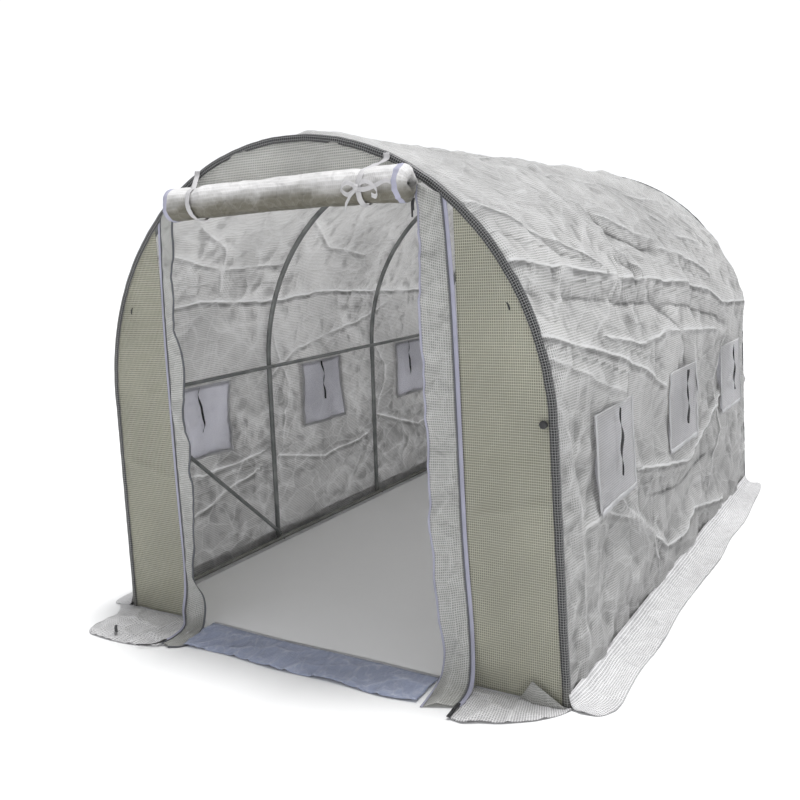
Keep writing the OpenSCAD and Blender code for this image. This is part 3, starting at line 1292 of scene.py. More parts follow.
RIGHT_FOLDS = (
    Fold(((-0.02, 1.51), (0.14, 1.48), (0.43, 1.44), (0.95, 1.38), (1.19, 1.36), (1.79, 1.31), (2.2, 1.24),
          (2.35, 1.17), (3.0, 1.13)), 0.030, 0.130, 0.045),
    Fold(((0.0, 1.40), (0.5, 1.33), (1.0, 1.28), (1.8, 1.20), (2.3, 1.10)), -0.016, 0.05, 0.06),
    Fold(((-0.02, 1.77), (0.07, 1.72), (0.27, 1.63), (0.49, 1.54), (0.75, 1.42)), 0.014, 0.05, 0.035),
    Fold(((1.12, 1.72), (1.14, 1.63), (1.25, 1.56), (1.42, 1.52), (1.6, 1.50)), -0.018, 0.018, 0.03),
    Fold(((1.05, 1.76), (1.28, 1.64), (1.62, 1.55)), 0.014, 0.06, 0.02),
    Fold(((0.97, 1.47), (1.09, 1.38)), -0.014, 0.02, 0.02),
    Fold(((1.03, 1.50), (1.15, 1.40)), 0.012, 0.03, 0.012),
    Fold(((1.62, 1.50), (1.9, 1.45), (2.15, 1.39), (2.3, 1.33)), 0.018, 0.06, 0.02),
    Fold(((-0.01, 1.25), (0.12, 1.21), (0.46, 1.13), (0.9, 1.01), (1.2, 0.90)), 0.022, 0.04, 0.06),
    Fold(((0.02, 1.16), (0.3, 1.06), (0.6, 0.97)), 0.010, 0.03, 0.03),
    Fold(((1.15, 1.34), (1.33, 1.22), (1.54, 1.10), (1.62, 0.95)), -0.012, 0.014, 0.014),
    Fold(((0.5, 1.18), (0.95, 1.11), (1.25, 1.13), (1.58, 1.10), (2.17, 1.05)), 0.018, 0.018, 0.05),
    Fold(((0.06, 1.44), (0.22, 1.32), (0.31, 1.44)), 0.008, 0.014, 0.014),
    Fold(((0.78, 1.38), (0.62, 1.27), (0.42, 1.21)), 0.009, 0.014, 0.02),
    Fold(((0.86, 1.38), (0.74, 1.26)), -0.007, 0.014, 0.014),
    Fold(((0.83, 0.62), (1.15, 0.56), (1.55, 0.49), (1.85, 0.53), (2.2, 0.66), (2.6, 0.78)),
         0.026, 0.035, 0.03),
    Fold(((1.0, 0.46), (1.5, 0.38), (2.0, 0.42)), -0.020, 0.07, 0.10),
    Fold(((0.16, 0.57), (0.36, 0.575), (0.71, 0.45), (0.96, 0.28), (1.05, 0.12)), 0.016, 0.02, 0.04),
    Fold(((0.59, 0.55), (0.83, 0.38), (1.19, 0.18), (1.45, 0.15), (1.68, 0.22), (2.3, 0.10)),
         0.018, 0.03, 0.03),
    Fold(((1.75, 0.86), (1.62, 0.66), (1.80, 0.56)), 0.014, 0.02, 0.02),
    Fold(((2.35, 0.98), (2.1, 0.80), (2.25, 0.50), (2.0, 0.25)), 0.016, 0.03, 0.03),
    Fold(((0.0, 1.02), (0.10, 0.80), (0.13, 0.60), (0.16, 0.30), (0.14, 0.05)), 0.007, 0.02, 0.02),
    Fold(((0.30, 0.50), (0.32, 0.28), (0.30, 0.08)), 0.006, 0.03, 0.03),
    Fold(((2.8, 1.9), (2.5, 1.7), (2.65, 1.5)), 0.010, 0.02, 0.03),
    Fold(((1.9, 2.0), (2.2, 1.85), (2.6, 1.8)), 0.009, 0.03, 0.02),
    Fold(((1.0, 2.15), (1.5, 1.98), (1.9, 1.93)), 0.008, 0.03, 0.02),
    Fold(((0.35, 2.3), (0.8, 2.2), (1.2, 2.22)), 0.007, 0.03, 0.03),
    Fold(((2.0, 1.72), (2.15, 1.58), (2.45, 1.52)), 0.013, 0.02, 0.03),
)

LEFT_FOLDS = (
    Fold(((0.0, 1.30), (0.5, 1.34), (0.95, 1.31), (1.5, 1.33), (2.1, 1.29), (3.0, 1.25)), 0.022, 0.03, 0.06),
    Fold(((0.1, 1.62), (0.6, 1.50), (1.0, 1.52)), 0.012, 0.03, 0.04),
    Fold(((0.3, 1.75), (0.55, 1.62), (0.62, 1.40)), 0.012, 0.02, 0.02),
    Fold(((1.1, 1.78), (1.35, 1.62), (1.75, 1.55)), 0.012, 0.03, 0.02),
    Fold(((1.05, 0.90), (1.30, 1.02), (1.9, 1.12), (2.2, 1.20)), 0.014, 0.05, 0.03),
    Fold(((0.1, 0.55), (0.5, 0.48), (0.95, 0.50)), 0.016, 0.02, 0.05),
    Fold(((0.05, 0.16), (0.4, 0.30), (0.9, 0.42)), 0.014, 0.03, 0.03),
    Fold(((1.1, 0.45), (1.5, 0.36), (1.95, 0.40)), 0.016, 0.02, 0.04),
    Fold(((2.1, 0.50), (2.6, 0.34), (2.95, 0.38)), 0.015, 0.03, 0.03),
    Fold(((1.1, 1.10), (1.2, 0.85), (1.12, 0.55)), 0.010, 0.02, 0.02),
    Fold(((2.05, 1.05), (2.2, 0.80), (2.1, 0.55)), 0.010, 0.02, 0.02),
    Fold(((2.2, 1.7), (2.5, 1.5), (2.9, 1.48)), 0.012, 0.02, 0.03),
)


@dataclass(frozen=True)
class WindowLayout:
    """Where the window openings are in the side walls.

    Attributes:
        width: Width of an opening.
        height: Height of an opening.
        top: Height of its upper edge, over the film.
        middles: Place of each opening's middle along the tunnel.
    """

    width: float
    height: float
    top: float
    middles: tuple[float, ...]

    @classmethod
    def for_shape(cls, shape: TunnelShape) -> "WindowLayout":
        """One opening in the middle of each bay, close under the purlins."""
        middles = tuple((a + b) / 2 for a, b in zip(shape.hoop_ys, shape.hoop_ys[1:]))
        return cls(0.36, 0.325, shape.wall_length - 0.025, middles)

    @property
    def bottom(self) -> float:
        """Height of an opening's lower edge."""
        return self.top - self.height

    def holds(self, y: Array, up: Array) -> Cells:
        """Which places lie inside an opening.

        Args:
            y: Places along the tunnel.
            up: Heights over the film.

        Returns:
            One answer for each place.
        """
        inside = np.zeros(np.broadcast(y, up).shape, bool)
        for middle in self.middles:
            inside |= (np.abs(y - middle) < self.width / 2) & (up > self.bottom) & (up < self.top)
        return inside


def split_lines(marks: Sequence[float], step: float) -> Array:
    """Lines at every mark and evenly between the marks.

    Args:
        marks: Places where a line has to be.
        step: Largest distance between two lines.

    Returns:
        The lines' places.
    """
    ordered = sorted(marks)
    runs = []
    for a, b in zip(ordered, ordered[1:]):
        if b - a > 1e-6:
            runs.append(np.linspace(a, b, max(1, math.ceil((b - a) / step - 0.01)), endpoint=False))
    return np.concatenate(runs + [np.array(ordered[-1:])])


@dataclass
class Cover:
    """The film over roof and side walls, one sheet from foot to foot.

    Attributes:
        shape: The tunnel's shape.
        windows: Where the openings are.
        finishes: The materials.
        cell: Size of the mesh's cells.
        thickness: Thickness of the film.
        deepest: How far the film may hang in between the hoops.
        highest: How far a fold may stand out.
        sewn: Width of the edges that are sewn fast.
    """

    shape: TunnelShape
    windows: WindowLayout
    finishes: Finishes
    cell: float = 0.0186
    thickness: float = 0.0012
    deepest: float = 0.023
    highest: float = 0.045
    sewn: float = 0.004

    def lines(self) -> tuple[Array, Array]:
        """The mesh's lines round the tunnel and along it."""
        shape, windows = self.shape, self.windows
        marks = [0.0, windows.bottom, windows.top, shape.wall_length]
        marks += [shape.girth - mark for mark in marks] + [shape.girth / 2]
        along = [shape.front, shape.back]
        for middle in windows.middles:
            along += [middle - windows.width / 2, middle + windows.width / 2]
        for y in shape.hoop_ys[1:-1]:
            along += [y - shape.film_offset, y, y + shape.film_offset]
        return split_lines(marks, self.cell), split_lines(along, self.cell)

    def fold_lift(self, places: Array, up: Array, right: Cells, along: Array) -> tuple[Array, Array, Array]:
        """Folds and crumples that stand on the settled film.

        Args:
            places: Places on the smooth film.
            up: Height of each place over the film.
            right: Which places are on the right side.
            along: Distance of each place behind the front hoop.

        Returns:
            One lift for each place, its distance from the nearest fold's line, and that fold's strength.
        """
        lift, force = np.zeros(up.shape), np.zeros(up.shape)
        line, second = np.full(up.shape, FAR), np.full(up.shape, FAR)
        for folds, here in ((RIGHT_FOLDS, right), (LEFT_FOLDS, ~right)):
            for fold in folds:
                distance, past = fold.measure(along, up)
                lift += np.where(here, fold.lift(distance) * np.exp(-((past / FOLD_FADE) ** 2)), 0.0)
                closer = here & (np.abs(distance) < np.abs(line))
                other = np.where(closer, np.abs(line), np.abs(distance))
                second = np.where(here, np.minimum(second, other), second)
                line = np.where(closer, distance, line)
                strength = fold.height / FULL_FOLD * np.exp(-((past / LINE_FADE) ** 2))
                force = np.where(closer, strength, force)
        force *= np.clip((second - np.abs(line)) / LINE_CLEARANCE, 0.0, 1.0)
        patchy = np.clip(soft_noise(places, 0.55, 8, 2) + 0.45, 0.0, 1.0)
        lift += 0.016 * patchy * facet_noise(places * np.array([1.0, 0.8, 1.0]), 0.26, 0.28, 2)
        lift += 0.009 * patchy * facet_noise(places, 0.13, 0.35, 5)
        return lift, line, np.clip(force, -1.2, 1.2)

    def build(self, cloth: ClothRun) -> None:
        """Shapes the film, settles it and cuts the openings.

        Args:
            cloth: How the cloth runs.
        """
        shape = self.shape
        self.rounds, self.alongs = self.lines()
        girth, y = np.meshgrid(self.rounds, self.alongs, indexing="ij")
        base, self.normals = shape.surface(girth, y)
        right = girth > shape.girth / 2
        up = np.where(right, shape.girth - girth, girth)
        to_end = np.minimum(y - shape.front, shape.back - y)
        to_hoop = np.min([np.abs(y - hoop) for hoop in shape.hoop_ys], axis=0)
        folds, line, force = self.fold_lift(base, up, right, y - shape.hoop_ys[0])
        folds *= np.where(folds < 0.0, np.clip((to_hoop - 0.01) / 0.06, 0.0, 1.0), 1.0)
        loose = np.clip(to_end / 0.04, 0.0, 1.0) * np.clip(up / 0.05, 0.0, 1.0)
        lift = 0.006 * soft_noise(base, 0.30, 3) * loose * np.clip(to_hoop / 0.09, 0.1, 1.0)
        flat = np.stack([y - shape.front, girth], -1)
        hold = np.full(up.shape, 0.05)
        hold[to_hoop < 0.02] = 0.5
        hold[(to_end < self.sewn) | (up < self.sewn)] = 1.0
        moved = cloth.settle(base + self.normals * lift[..., None], flat, hold, flip=True) - base
        out = np.sum(moved * self.normals, -1)
        sideways = moved - self.normals * out[..., None]
        needed = np.full(up.shape, -self.deepest)
        for hoop in shape.hoop_ys:
            gap = (shape.tube_r + 0.0022) ** 2 - (y - hoop) ** 2
            needed = np.maximum(needed, np.sqrt(np.maximum(gap, 0.0)) - shape.film_offset)
        out = np.clip(out + folds * loose, needed, self.highest)
        self.places = base + sideways + self.normals * out[..., None]
        middle_y = (self.alongs[1:] + self.alongs[:-1]) / 2
        middle_up = (up[1:, 0] + up[:-1, 0]) / 2
        keep = ~self.windows.holds(middle_y[None, :], middle_up[:, None])
        cover = film_mesh("cover_film", self.places, flat, self.thickness, self.finishes.cover, keep, True,
                          {"fold_line": line, "fold_force": force})
        dress(cover, "woven_film")
        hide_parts("roof_cover", "wall_cover_left", "wall_cover_right")

    def stand(self, side: Side, y: Array, up: Array) -> Array:
        """How far the settled film stands out of the smooth one.

        Args:
            side: Which side wall.
            y: Places along the tunnel.
            up: Heights over the film.

        Returns:
            One distance for each place.
        """
        base, normals = self.shape.surface(self.shape.climbed(side, up), y)
        return np.sum((self.sample(side, y, up, np.zeros(y.shape)) - base) * normals, -1)

    def sample(self, side: Side, y: Array, up: Array, lift: Array) -> Array:
        """Places on the settled film.

        Args:
            side: Which side wall.
            y: Places along the tunnel.
            up: Heights over the film.
            lift: How far outside the film each place is.

        Returns:
            The places, with 3 numbers on the last axis.
        """
        row = np.interp(self.shape.climbed(side, up), self.rounds, np.arange(len(self.rounds)))
        column = np.interp(y, self.alongs, np.arange(len(self.alongs)))
        r0 = np.clip(row.astype(int), 0, len(self.rounds) - 2)
        c0 = np.clip(column.astype(int), 0, len(self.alongs) - 2)
        dr, dc = (row - r0)[..., None], (column - c0)[..., None]

        def blend(grid: Array) -> Array:
            """The grid's value between its four nearest points."""
            near = grid[r0, c0] * (1 - dc) + grid[r0, c0 + 1] * dc
            far = grid[r0 + 1, c0] * (1 - dc) + grid[r0 + 1, c0 + 1] * dc
            return near * (1 - dr) + far * dr

        return blend(self.places) + blend(self.normals) * np.asarray(lift)[..., None]


# ---- Ribbons, hems and tapes ----


def ribbon(
    name: str, middle: Array, across: Array, width: float, thickness: float, material: Material,
    profile: Sequence[float] = (0.0, 0.0, 0.0)
) -> Piece:
    """A flat band along a line of points.

    Args:
        name: The piece's name.
        middle: The band's middle line.
        across: Direction of its width, once or at each point.
        width: Its width.
        thickness: Its thickness.
        material: Its material.
        profile: How far each point across is raised off the band.

    Returns:
        The band.
    """
    across = unit(np.broadcast_to(across, middle.shape))
    offsets = np.linspace(-0.5, 0.5, len(profile)) * width
    normal = unit(np.cross(across, np.gradient(middle, axis=0)))
    points = middle[:, None, :] + across[:, None, :] * offsets[None, :, None]
    points = points + normal[:, None, :] * np.array(profile)[None, :, None]
    return film_mesh(name, points, flat_grid(offsets + width / 2, travelled(middle)), thickness, material)


@dataclass
class Windows:
    """Screens behind the openings and closed flaps over them.

    Attributes:
        cover: The settled cover.
        finishes: The materials.
    """

    cover: Cover
    finishes: Finishes
    screen_lap: float = 0.018
    screen_gap: float = 0.0022
    flap_lap_side: float = 0.042
    flap_lap_bottom: float = 0.012
    flap_gap: float = 0.0030
    hem_width: float = 0.020
    hem_thickness: float = 0.0016
    strap_width: float = 0.011
    strap_gap: float = 0.006
    cell: float = 0.010

    def patch(self, middle: float, half: float, bottom: float, top: float) -> tuple[Array, Array]:
        """Grid of places along the tunnel and heights for one rectangle on a wall."""
        ups = split_lines([bottom, top], self.cell)
        return np.meshgrid(split_lines([middle - half, middle + half], self.cell), ups)

    def hems(self, side: Side, points: Array, raised: float, width: float) -> list[Piece]:
        """Bands sewn along both sides and the foot of a rectangle of film.

        Args:
            side: Which side wall.
            points: The rectangle's places.
            raised: How far outside the film the bands lie.
            width: Their width.

        Returns:
            The three bands.
        """
        inset, out = width / 2, side.value * raised
        edges = (
            (points[:, 0] + np.array([out, inset, 0.0]), (0.0, 1.0, 0.0)),
            (points[:, -1] + np.array([out, -inset, 0.0]), (0.0, 1.0, 0.0)),
            (points[0, :] + np.array([out, 0.0, inset]), (0.0, 0.0, 1.0)),
        )
        return [ribbon("hem", line, across, width, self.hem_thickness, self.finishes.hem)
                for line, across in edges]

    def build_screens(self, side: Side) -> None:
        """The three screens of one side, behind the openings.

        Args:
            side: Which side wall.
        """
        windows, lap = self.cover.windows, self.screen_lap
        made = []
        for middle in windows.middles:
            y, up = self.patch(middle, windows.width / 2 + lap, windows.bottom - lap, windows.top + lap)
            points = self.cover.sample(side, y, up, np.full(y.shape, -self.screen_gap))
            made.append(film_mesh("screen", points, np.stack([y, up], -1), 0.0006, self.finishes.screen,
                                  flip=side is Side.LEFT))
            made += self.hems(side, points, -0.0020, 0.012)
        piece = join(f"window_screens_{side.word}_film", made)
        dress(piece, "screen_film")
        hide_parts(f"window_screens_{side.word}")

    def build_flap(self, side: Side, bay: int) -> None:
        """One closed flap with its hems and its two hanging straps.

        Args:
            side: Which side wall.
            bay: Which bay, counted from the front.
        """
        windows, shape, word = self.cover.windows, self.cover.shape, ("front", "middle", "back")[bay]
        middle = windows.middles[bay]
        half = windows.width / 2 + self.flap_lap_side
        bottom, top = windows.bottom - self.flap_lap_bottom, shape.wall_length - 0.001
        y, up = self.patch(middle, half, bottom, top)
        low = np.clip((top - up) / (top - bottom), 0.0, 1.0)
        seed = 20 + 3 * bay + side.value
        cut = np.stack([y, up, np.zeros(y.shape)], -1)
        billow = 0.004 * low * (1.0 + soft_noise(cut, 0.20, seed, 2))
        billow += 0.003 * low * facet_noise(cut, 0.14, 0.3, seed)
        base, normals = shape.surface(shape.climbed(side, up), y)
        level = self.cover.stand(side, y, up)
        terms = np.stack([np.ones(y.size), y.ravel(), up.ravel()], -1)
        plane = (terms @ np.linalg.lstsq(terms, level.ravel(), rcond=None)[0]).reshape(y.shape)
        stand = np.maximum(plane + 0.5 * float((level - plane).max()), level)
        stand = stand + self.flap_gap + np.clip(billow, 0.0, 0.02)
        points = base + normals * stand[..., None]
        flap = film_mesh("flap", points, cut[..., :2], 0.0010, self.finishes.flap, flip=side is Side.LEFT)
        piece = join(f"window_flap_{side.word}_{word}_film",
                     [flap, *self.hems(side, points, 0.0014, self.hem_width)])
        dress(piece, "flap_film")
        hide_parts(f"window_flap_{side.word}_{word}")
        self.build_strap(side, middle, word, float(stand.max()) + self.strap_gap, 0.25, "outer")
        self.build_strap(side, middle - 0.012, word, -self.screen_gap - self.strap_gap, 0.22, "inner")

    def build_strap(self, side: Side, y: float, word: str, lift: float, drop: float, label: str) -> None:
        """A black strap that hangs from the top of a window and ties up the rolled flap.

        Args:
            side: Which side wall.
            y: Its place along the tunnel.
            word: The bay's name.
            lift: How far outside the smooth film it hangs, or outside the settled one for an inner strap.
            drop: Its length.
            label: Tells the two straps of a window apart.
        """
        top = self.cover.windows.top + 0.012
        seed = len(word) + 5 * side.value + (3 if label == "outer" else 7) + int(10 * y)
        down = np.linspace(0.0, drop, 22)
        sway = 0.007 * np.sin(down * 24.0 + seed) * (down / drop) + 0.004 * np.sin(down * 61.0 + 2 * seed)
        level = self.cover.stand(side, y + sway, top - down) if label == "outer" else 0.0
        line = self.cover.sample(side, y + sway, top - down, np.full(down.shape, lift) - level)
        line[:, 0] += side.value * 0.003 * np.sin(down * 40.0 + seed)
        turn = 0.9 * np.sin(down * 30.0 + seed)
        across = np.stack([np.sin(turn), np.cos(turn), np.zeros_like(turn)], -1)
        strap = ribbon(f"window_strap_{side.word}_{word}_{label}", line, across, self.strap_width, 0.0012,
                       self.finishes.plastic)
        dress(strap, "black_plastic")

    def build(self) -> None:
        """Builds the screens, flaps and straps of both sides."""
        for side in Side:
            self.build_screens(side)
            for bay in range(len(self.cover.windows.middles)):
                self.build_flap(side, bay)


# ---- End walls ----


@dataclass
class EndWalls:
    """The front panels, the gable over the doorway and the back panel.

    Attributes:
        shape: The tunnel's shape.
        finishes: The materials.
        seam_z: Height of the seam over the doorway.
        zip_x: Outer edge of the zips.
        cloth: How the films settle.
        thickness: Thickness of the films.
        cell: Size of the mesh's cells.
        foot: Height of the lowest edge.
        sewn: Width of the edges that are sewn fast.
    """

    shape: TunnelShape
    finishes: Finishes
    seam_z: float
    zip_x: float
    cloth: ClothRun
    thickness: float = 0.0010
    cell: float = 0.014
    foot: float = 0.004
    sewn: float = 0.004

    def heights(self, low: float, high: float) -> Array:
        """Row heights of a film, closer together where the arc turns flat.

        Args:
            low: The lowest row.
            high: The highest row.

        Returns:
            The heights.
        """
        shape = self.shape
        marks = [low, high]
        if low < shape.leg_height < high:
            marks.insert(1, shape.leg_height)
        rows = []
        for a, b in zip(marks, marks[1:]):
            if b <= shape.leg_height + 1e-6:
                rows.append(np.linspace(a, b, math.ceil((b - a) / self.cell), endpoint=False))
            else:
                start = math.asin(max(0.0, a - shape.leg_height) / shape.film_radius)
                end = math.asin(min(1.0, (b - shape.leg_height) / shape.film_radius))
                count = math.ceil((end - start) * shape.film_radius / self.cell)
                turns = np.linspace(start, end, count, endpoint=False)
                rows.append(shape.leg_height + shape.film_radius * np.sin(turns))
        return np.concatenate(rows + [np.array([high])])

    def outline(self, heights: Array, left: Array, right: Array, y: float, columns: int) -> Array:
        """Grid of an upright film whose two sides follow given outlines.

        Args:
            heights: Height of each row.
            left: X of each row's left end.
            right: X of each row's right end.
            y: The film's place along the tunnel.
            columns: How many points a row has.

        Returns:
            The places.
        """
        x = left[:, None] + (right - left)[:, None] * np.linspace(0.0, 1.0, columns)[None, :]
        return np.stack([x, np.full(x.shape, y), np.broadcast_to(heights[:, None], x.shape)], -1)

    def to_hoop(self, points: Array) -> Array:
        """Distance of each place of an end film to the hoop."""
        beside = self.shape.half_width(points[..., 2]) - np.abs(points[..., 0])
        return np.minimum(beside, self.shape.top - points[..., 2])

    def film(
        self, name: str, points: Array, out: float, folds: Array, edges: Array, material: Material
    ) -> Piece:
        """Settles an end film and keeps it clear of the hoop behind it.

        Args:
            name: The film's name.
            points: Its smooth places.
            out: -1 where outside is the front, 1 where it is the back.
            folds: How far each place is lifted outwards before it settles.
            edges: Distance of each place to the sewn edge.
            material: Its material.

        Returns:
            The film.
        """
        flat = points[..., ::2]
        rough = points.copy()
        rough[..., 1] += out * folds * np.clip(edges / 0.06, 0.0, 1.0)
        hold = np.where(edges < self.sewn, 1.0, 0.04)
        hold = np.where((edges > self.sewn) & (edges < 0.03), 0.3, hold)
        settled = self.cloth.settle(rough, flat, hold)
        lift = out * (settled[..., 1] - points[..., 1])
        inward = np.interp(edges, [0.0, 0.06, 0.14], [0.0, 0.0, 0.016])
        settled[..., 1] = points[..., 1] + out * np.clip(lift, -inward, 0.022)
        return film_mesh(name, settled, flat, self.thickness, material, flip=out > 0.0)

    def build_front_panel(self, side: Side) -> None:
        """The clear grid film between a leg and a zip.

        Args:
            side: Which side of the doorway.
        """
        shape = self.shape
        top = shape.leg_height + math.sqrt(shape.film_radius**2 - self.zip_x**2)
        rows = self.heights(self.foot, top)
        outer = shape.half_width(rows)
        inner = np.full(rows.shape, self.zip_x)
        left, right = (inner, outer) if side is Side.RIGHT else (-outer, -inner)
        points = self.outline(rows, left, right, shape.front, 27)
        from_middle, height = np.abs(points[..., 0]), points[..., 2]
        edges = np.minimum(np.abs(shape.half_width(height) - from_middle), np.abs(from_middle - self.zip_x))
        folds = 0.004 * soft_noise(points * np.array([1.0, 1.0, 0.5]), 0.18, 40 + side.value)
        folds += 0.005 * np.exp(-((height - 0.62 - 0.25 * (from_middle - 0.68)) / 0.02) ** 2)
        panel = self.film(f"front_panel_{side.word}_film", points, -1.0, folds, edges, self.finishes.front)
        dress(panel, "grid_film")
        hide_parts(f"front_panel_{side.word}")

    def build_gable(self) -> None:
        """The film above the doorway."""
        shape = self.shape
        rows = self.heights(self.seam_z, shape.top - 0.0005)
        half = shape.half_width(rows)
        points = self.outline(rows, -half, half, shape.front, 90)
        edges = np.minimum(self.to_hoop(points), points[..., 2] - self.seam_z)
        folds = 0.006 * soft_noise(points * np.array([1.0, 1.0, 0.6]), 0.2, 44)
        gable = self.film("front_panel_top_film", points, -1.0, folds, edges, self.finishes.gable)
        dress(gable, "grid_film")
        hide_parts("front_panel_top")

    def build_back(self) -> None:
        """The plain film that closes the back."""
        shape = self.shape
        rows = self.heights(self.foot, shape.top - 0.0005)
        half = shape.half_width(rows)
        points = self.outline(rows, -half, half, shape.back, 116)
        edges = np.minimum(self.to_hoop(points), points[..., 2] * 3)
        folds = 0.012 * soft_noise(points, 0.5, 48)
        folds += 0.010 * facet_noise(points, 0.34, 0.22, 49)
        folds += 0.014 * np.exp(-(((points[..., 2] - 0.93 - 0.10 * points[..., 0]) / 0.035) ** 2))
        back = self.film("back_panel_film", points, 1.0, folds, edges, self.finishes.cover)
        dress(back, "woven_film")
        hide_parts("back_panel")

    def build_seam(self, name: str, out: float) -> None:
        """The doubled edge where an end wall is sewn to the cover, drawn tight round the hoop, coloured near
        black as painted shade where the hoop shows dark through the film.

        Args:
            name: The seam's name.
            out: -1 for the front, 1 for the back.
        """
        shape, width = self.shape, 0.042
        girth = np.linspace(self.foot, shape.girth - self.foot, 420)
        end = shape.front if out < 0.0 else shape.back
        places, normals = shape.surface(girth, np.full(girth.shape, end))
        wave = 0.0016 * soft_noise(places, 0.06, 51)
        profile = ((-0.021, 0.0022), (-0.012, 0.0046), (-0.002, 0.0040), (0.0036, 0.0012),
                   (0.0046, -0.006), (0.0040, -0.014))
        points = np.stack([places + normals * (stand + wave)[:, None] + np.array([0.0, out * lift, 0.0])
                           for stand, lift in profile], 1)
        flat = flat_grid(np.linspace(0.0, width, len(profile)), girth)
        seam = film_mesh(name, points, flat, 0.0012, self.finishes.sleeve, flip=out < 0.0)
        dress(seam, "woven_film")

    def build(self) -> None:
        """Builds every end film and both seams."""
        for side in Side:
            self.build_front_panel(side)
        self.build_gable()
        self.build_back()
        self.build_seam("seam_front", -1.0)
        self.build_seam("seam_back", 1.0)


# ---- Doorway ----


@dataclass(frozen=True)
class StripCourse:
    """Where the two edges of a door strip run, as points (x, distance in front of the panel, z).

    Attributes:
        hem: The free inner edge.
        zip_line: The middle of the zip tape.
        zip_end: The bare black end of the zip, on the ground.
    """

    hem: tuple[Point, ...]
    zip_line: tuple[Point, ...]
    zip_end: tuple[Point, ...]


STRIP_COURSES = {
    Side.RIGHT: StripCourse(
        hem=((0.548, 0.0, 1.75), (0.550, 0.004, 1.60), (0.549, 0.010, 1.40), (0.546, 0.012, 1.20),
             (0.549, 0.008, 0.90), (0.547, 0.012, 0.60), (0.550, 0.010, 0.44), (0.560, 0.008, 0.25),
             (0.574, 0.012, 0.12), (0.577, 0.030, 0.050), (0.572, 0.060, 0.016), (0.577, 0.120, 0.007),
             (0.588, 0.180, 0.006), (0.594, 0.212, 0.006)),
        zip_line=((0.648, 0.0, 1.705), (0.656, 0.002, 1.60), (0.666, 0.003, 1.40), (0.670, 0.003, 1.20),
                  (0.672, 0.003, 0.90), (0.674, 0.003, 0.60), (0.680, 0.004, 0.42), (0.689, 0.006, 0.25),
                  (0.694, 0.014, 0.12), (0.699, 0.036, 0.045), (0.703, 0.070, 0.016), (0.706, 0.120, 0.008),
                  (0.707, 0.160, 0.008)),
        zip_end=((0.707, 0.150, 0.010), (0.708, 0.180, 0.010), (0.711, 0.215, 0.009), (0.712, 0.240, 0.008)),
    ),
    Side.LEFT: StripCourse(
        hem=((-0.568, 0.0, 1.75), (-0.570, 0.004, 1.64), (-0.588, 0.012, 1.45), (-0.605, 0.010, 1.28),
             (-0.574, 0.014, 1.10), (-0.600, 0.012, 0.93), (-0.576, 0.014, 0.80), (-0.590, 0.010, 0.65),
             (-0.601, 0.008, 0.54), (-0.617, 0.010, 0.35), (-0.626, 0.012, 0.20), (-0.585, 0.016, 0.13),
             (-0.572, 0.020, 0.080), (-0.568, 0.035, 0.032), (-0.556, 0.062, 0.012), (-0.532, 0.118, 0.009),
             (-0.506, 0.178, 0.010), (-0.520, 0.222, 0.010), (-0.566, 0.252, 0.010)),
        zip_line=((-0.648, 0.0, 1.705), (-0.656, 0.002, 1.60), (-0.668, 0.003, 1.40), (-0.677, 0.003, 1.20),
                  (-0.684, 0.003, 0.88), (-0.688, 0.003, 0.62), (-0.689, 0.003, 0.40), (-0.688, 0.005, 0.25),
                  (-0.690, 0.012, 0.13), (-0.692, 0.030, 0.055), (-0.672, 0.050, 0.022),
                  (-0.646, 0.078, 0.014), (-0.620, 0.128, 0.012), (-0.606, 0.190, 0.012),
                  (-0.608, 0.245, 0.012)),
        zip_end=((-0.607, 0.225, 0.014), (-0.610, 0.255, 0.013), (-0.635, 0.285, 0.012),
                 (-0.684, 0.306, 0.010)),
    ),
}


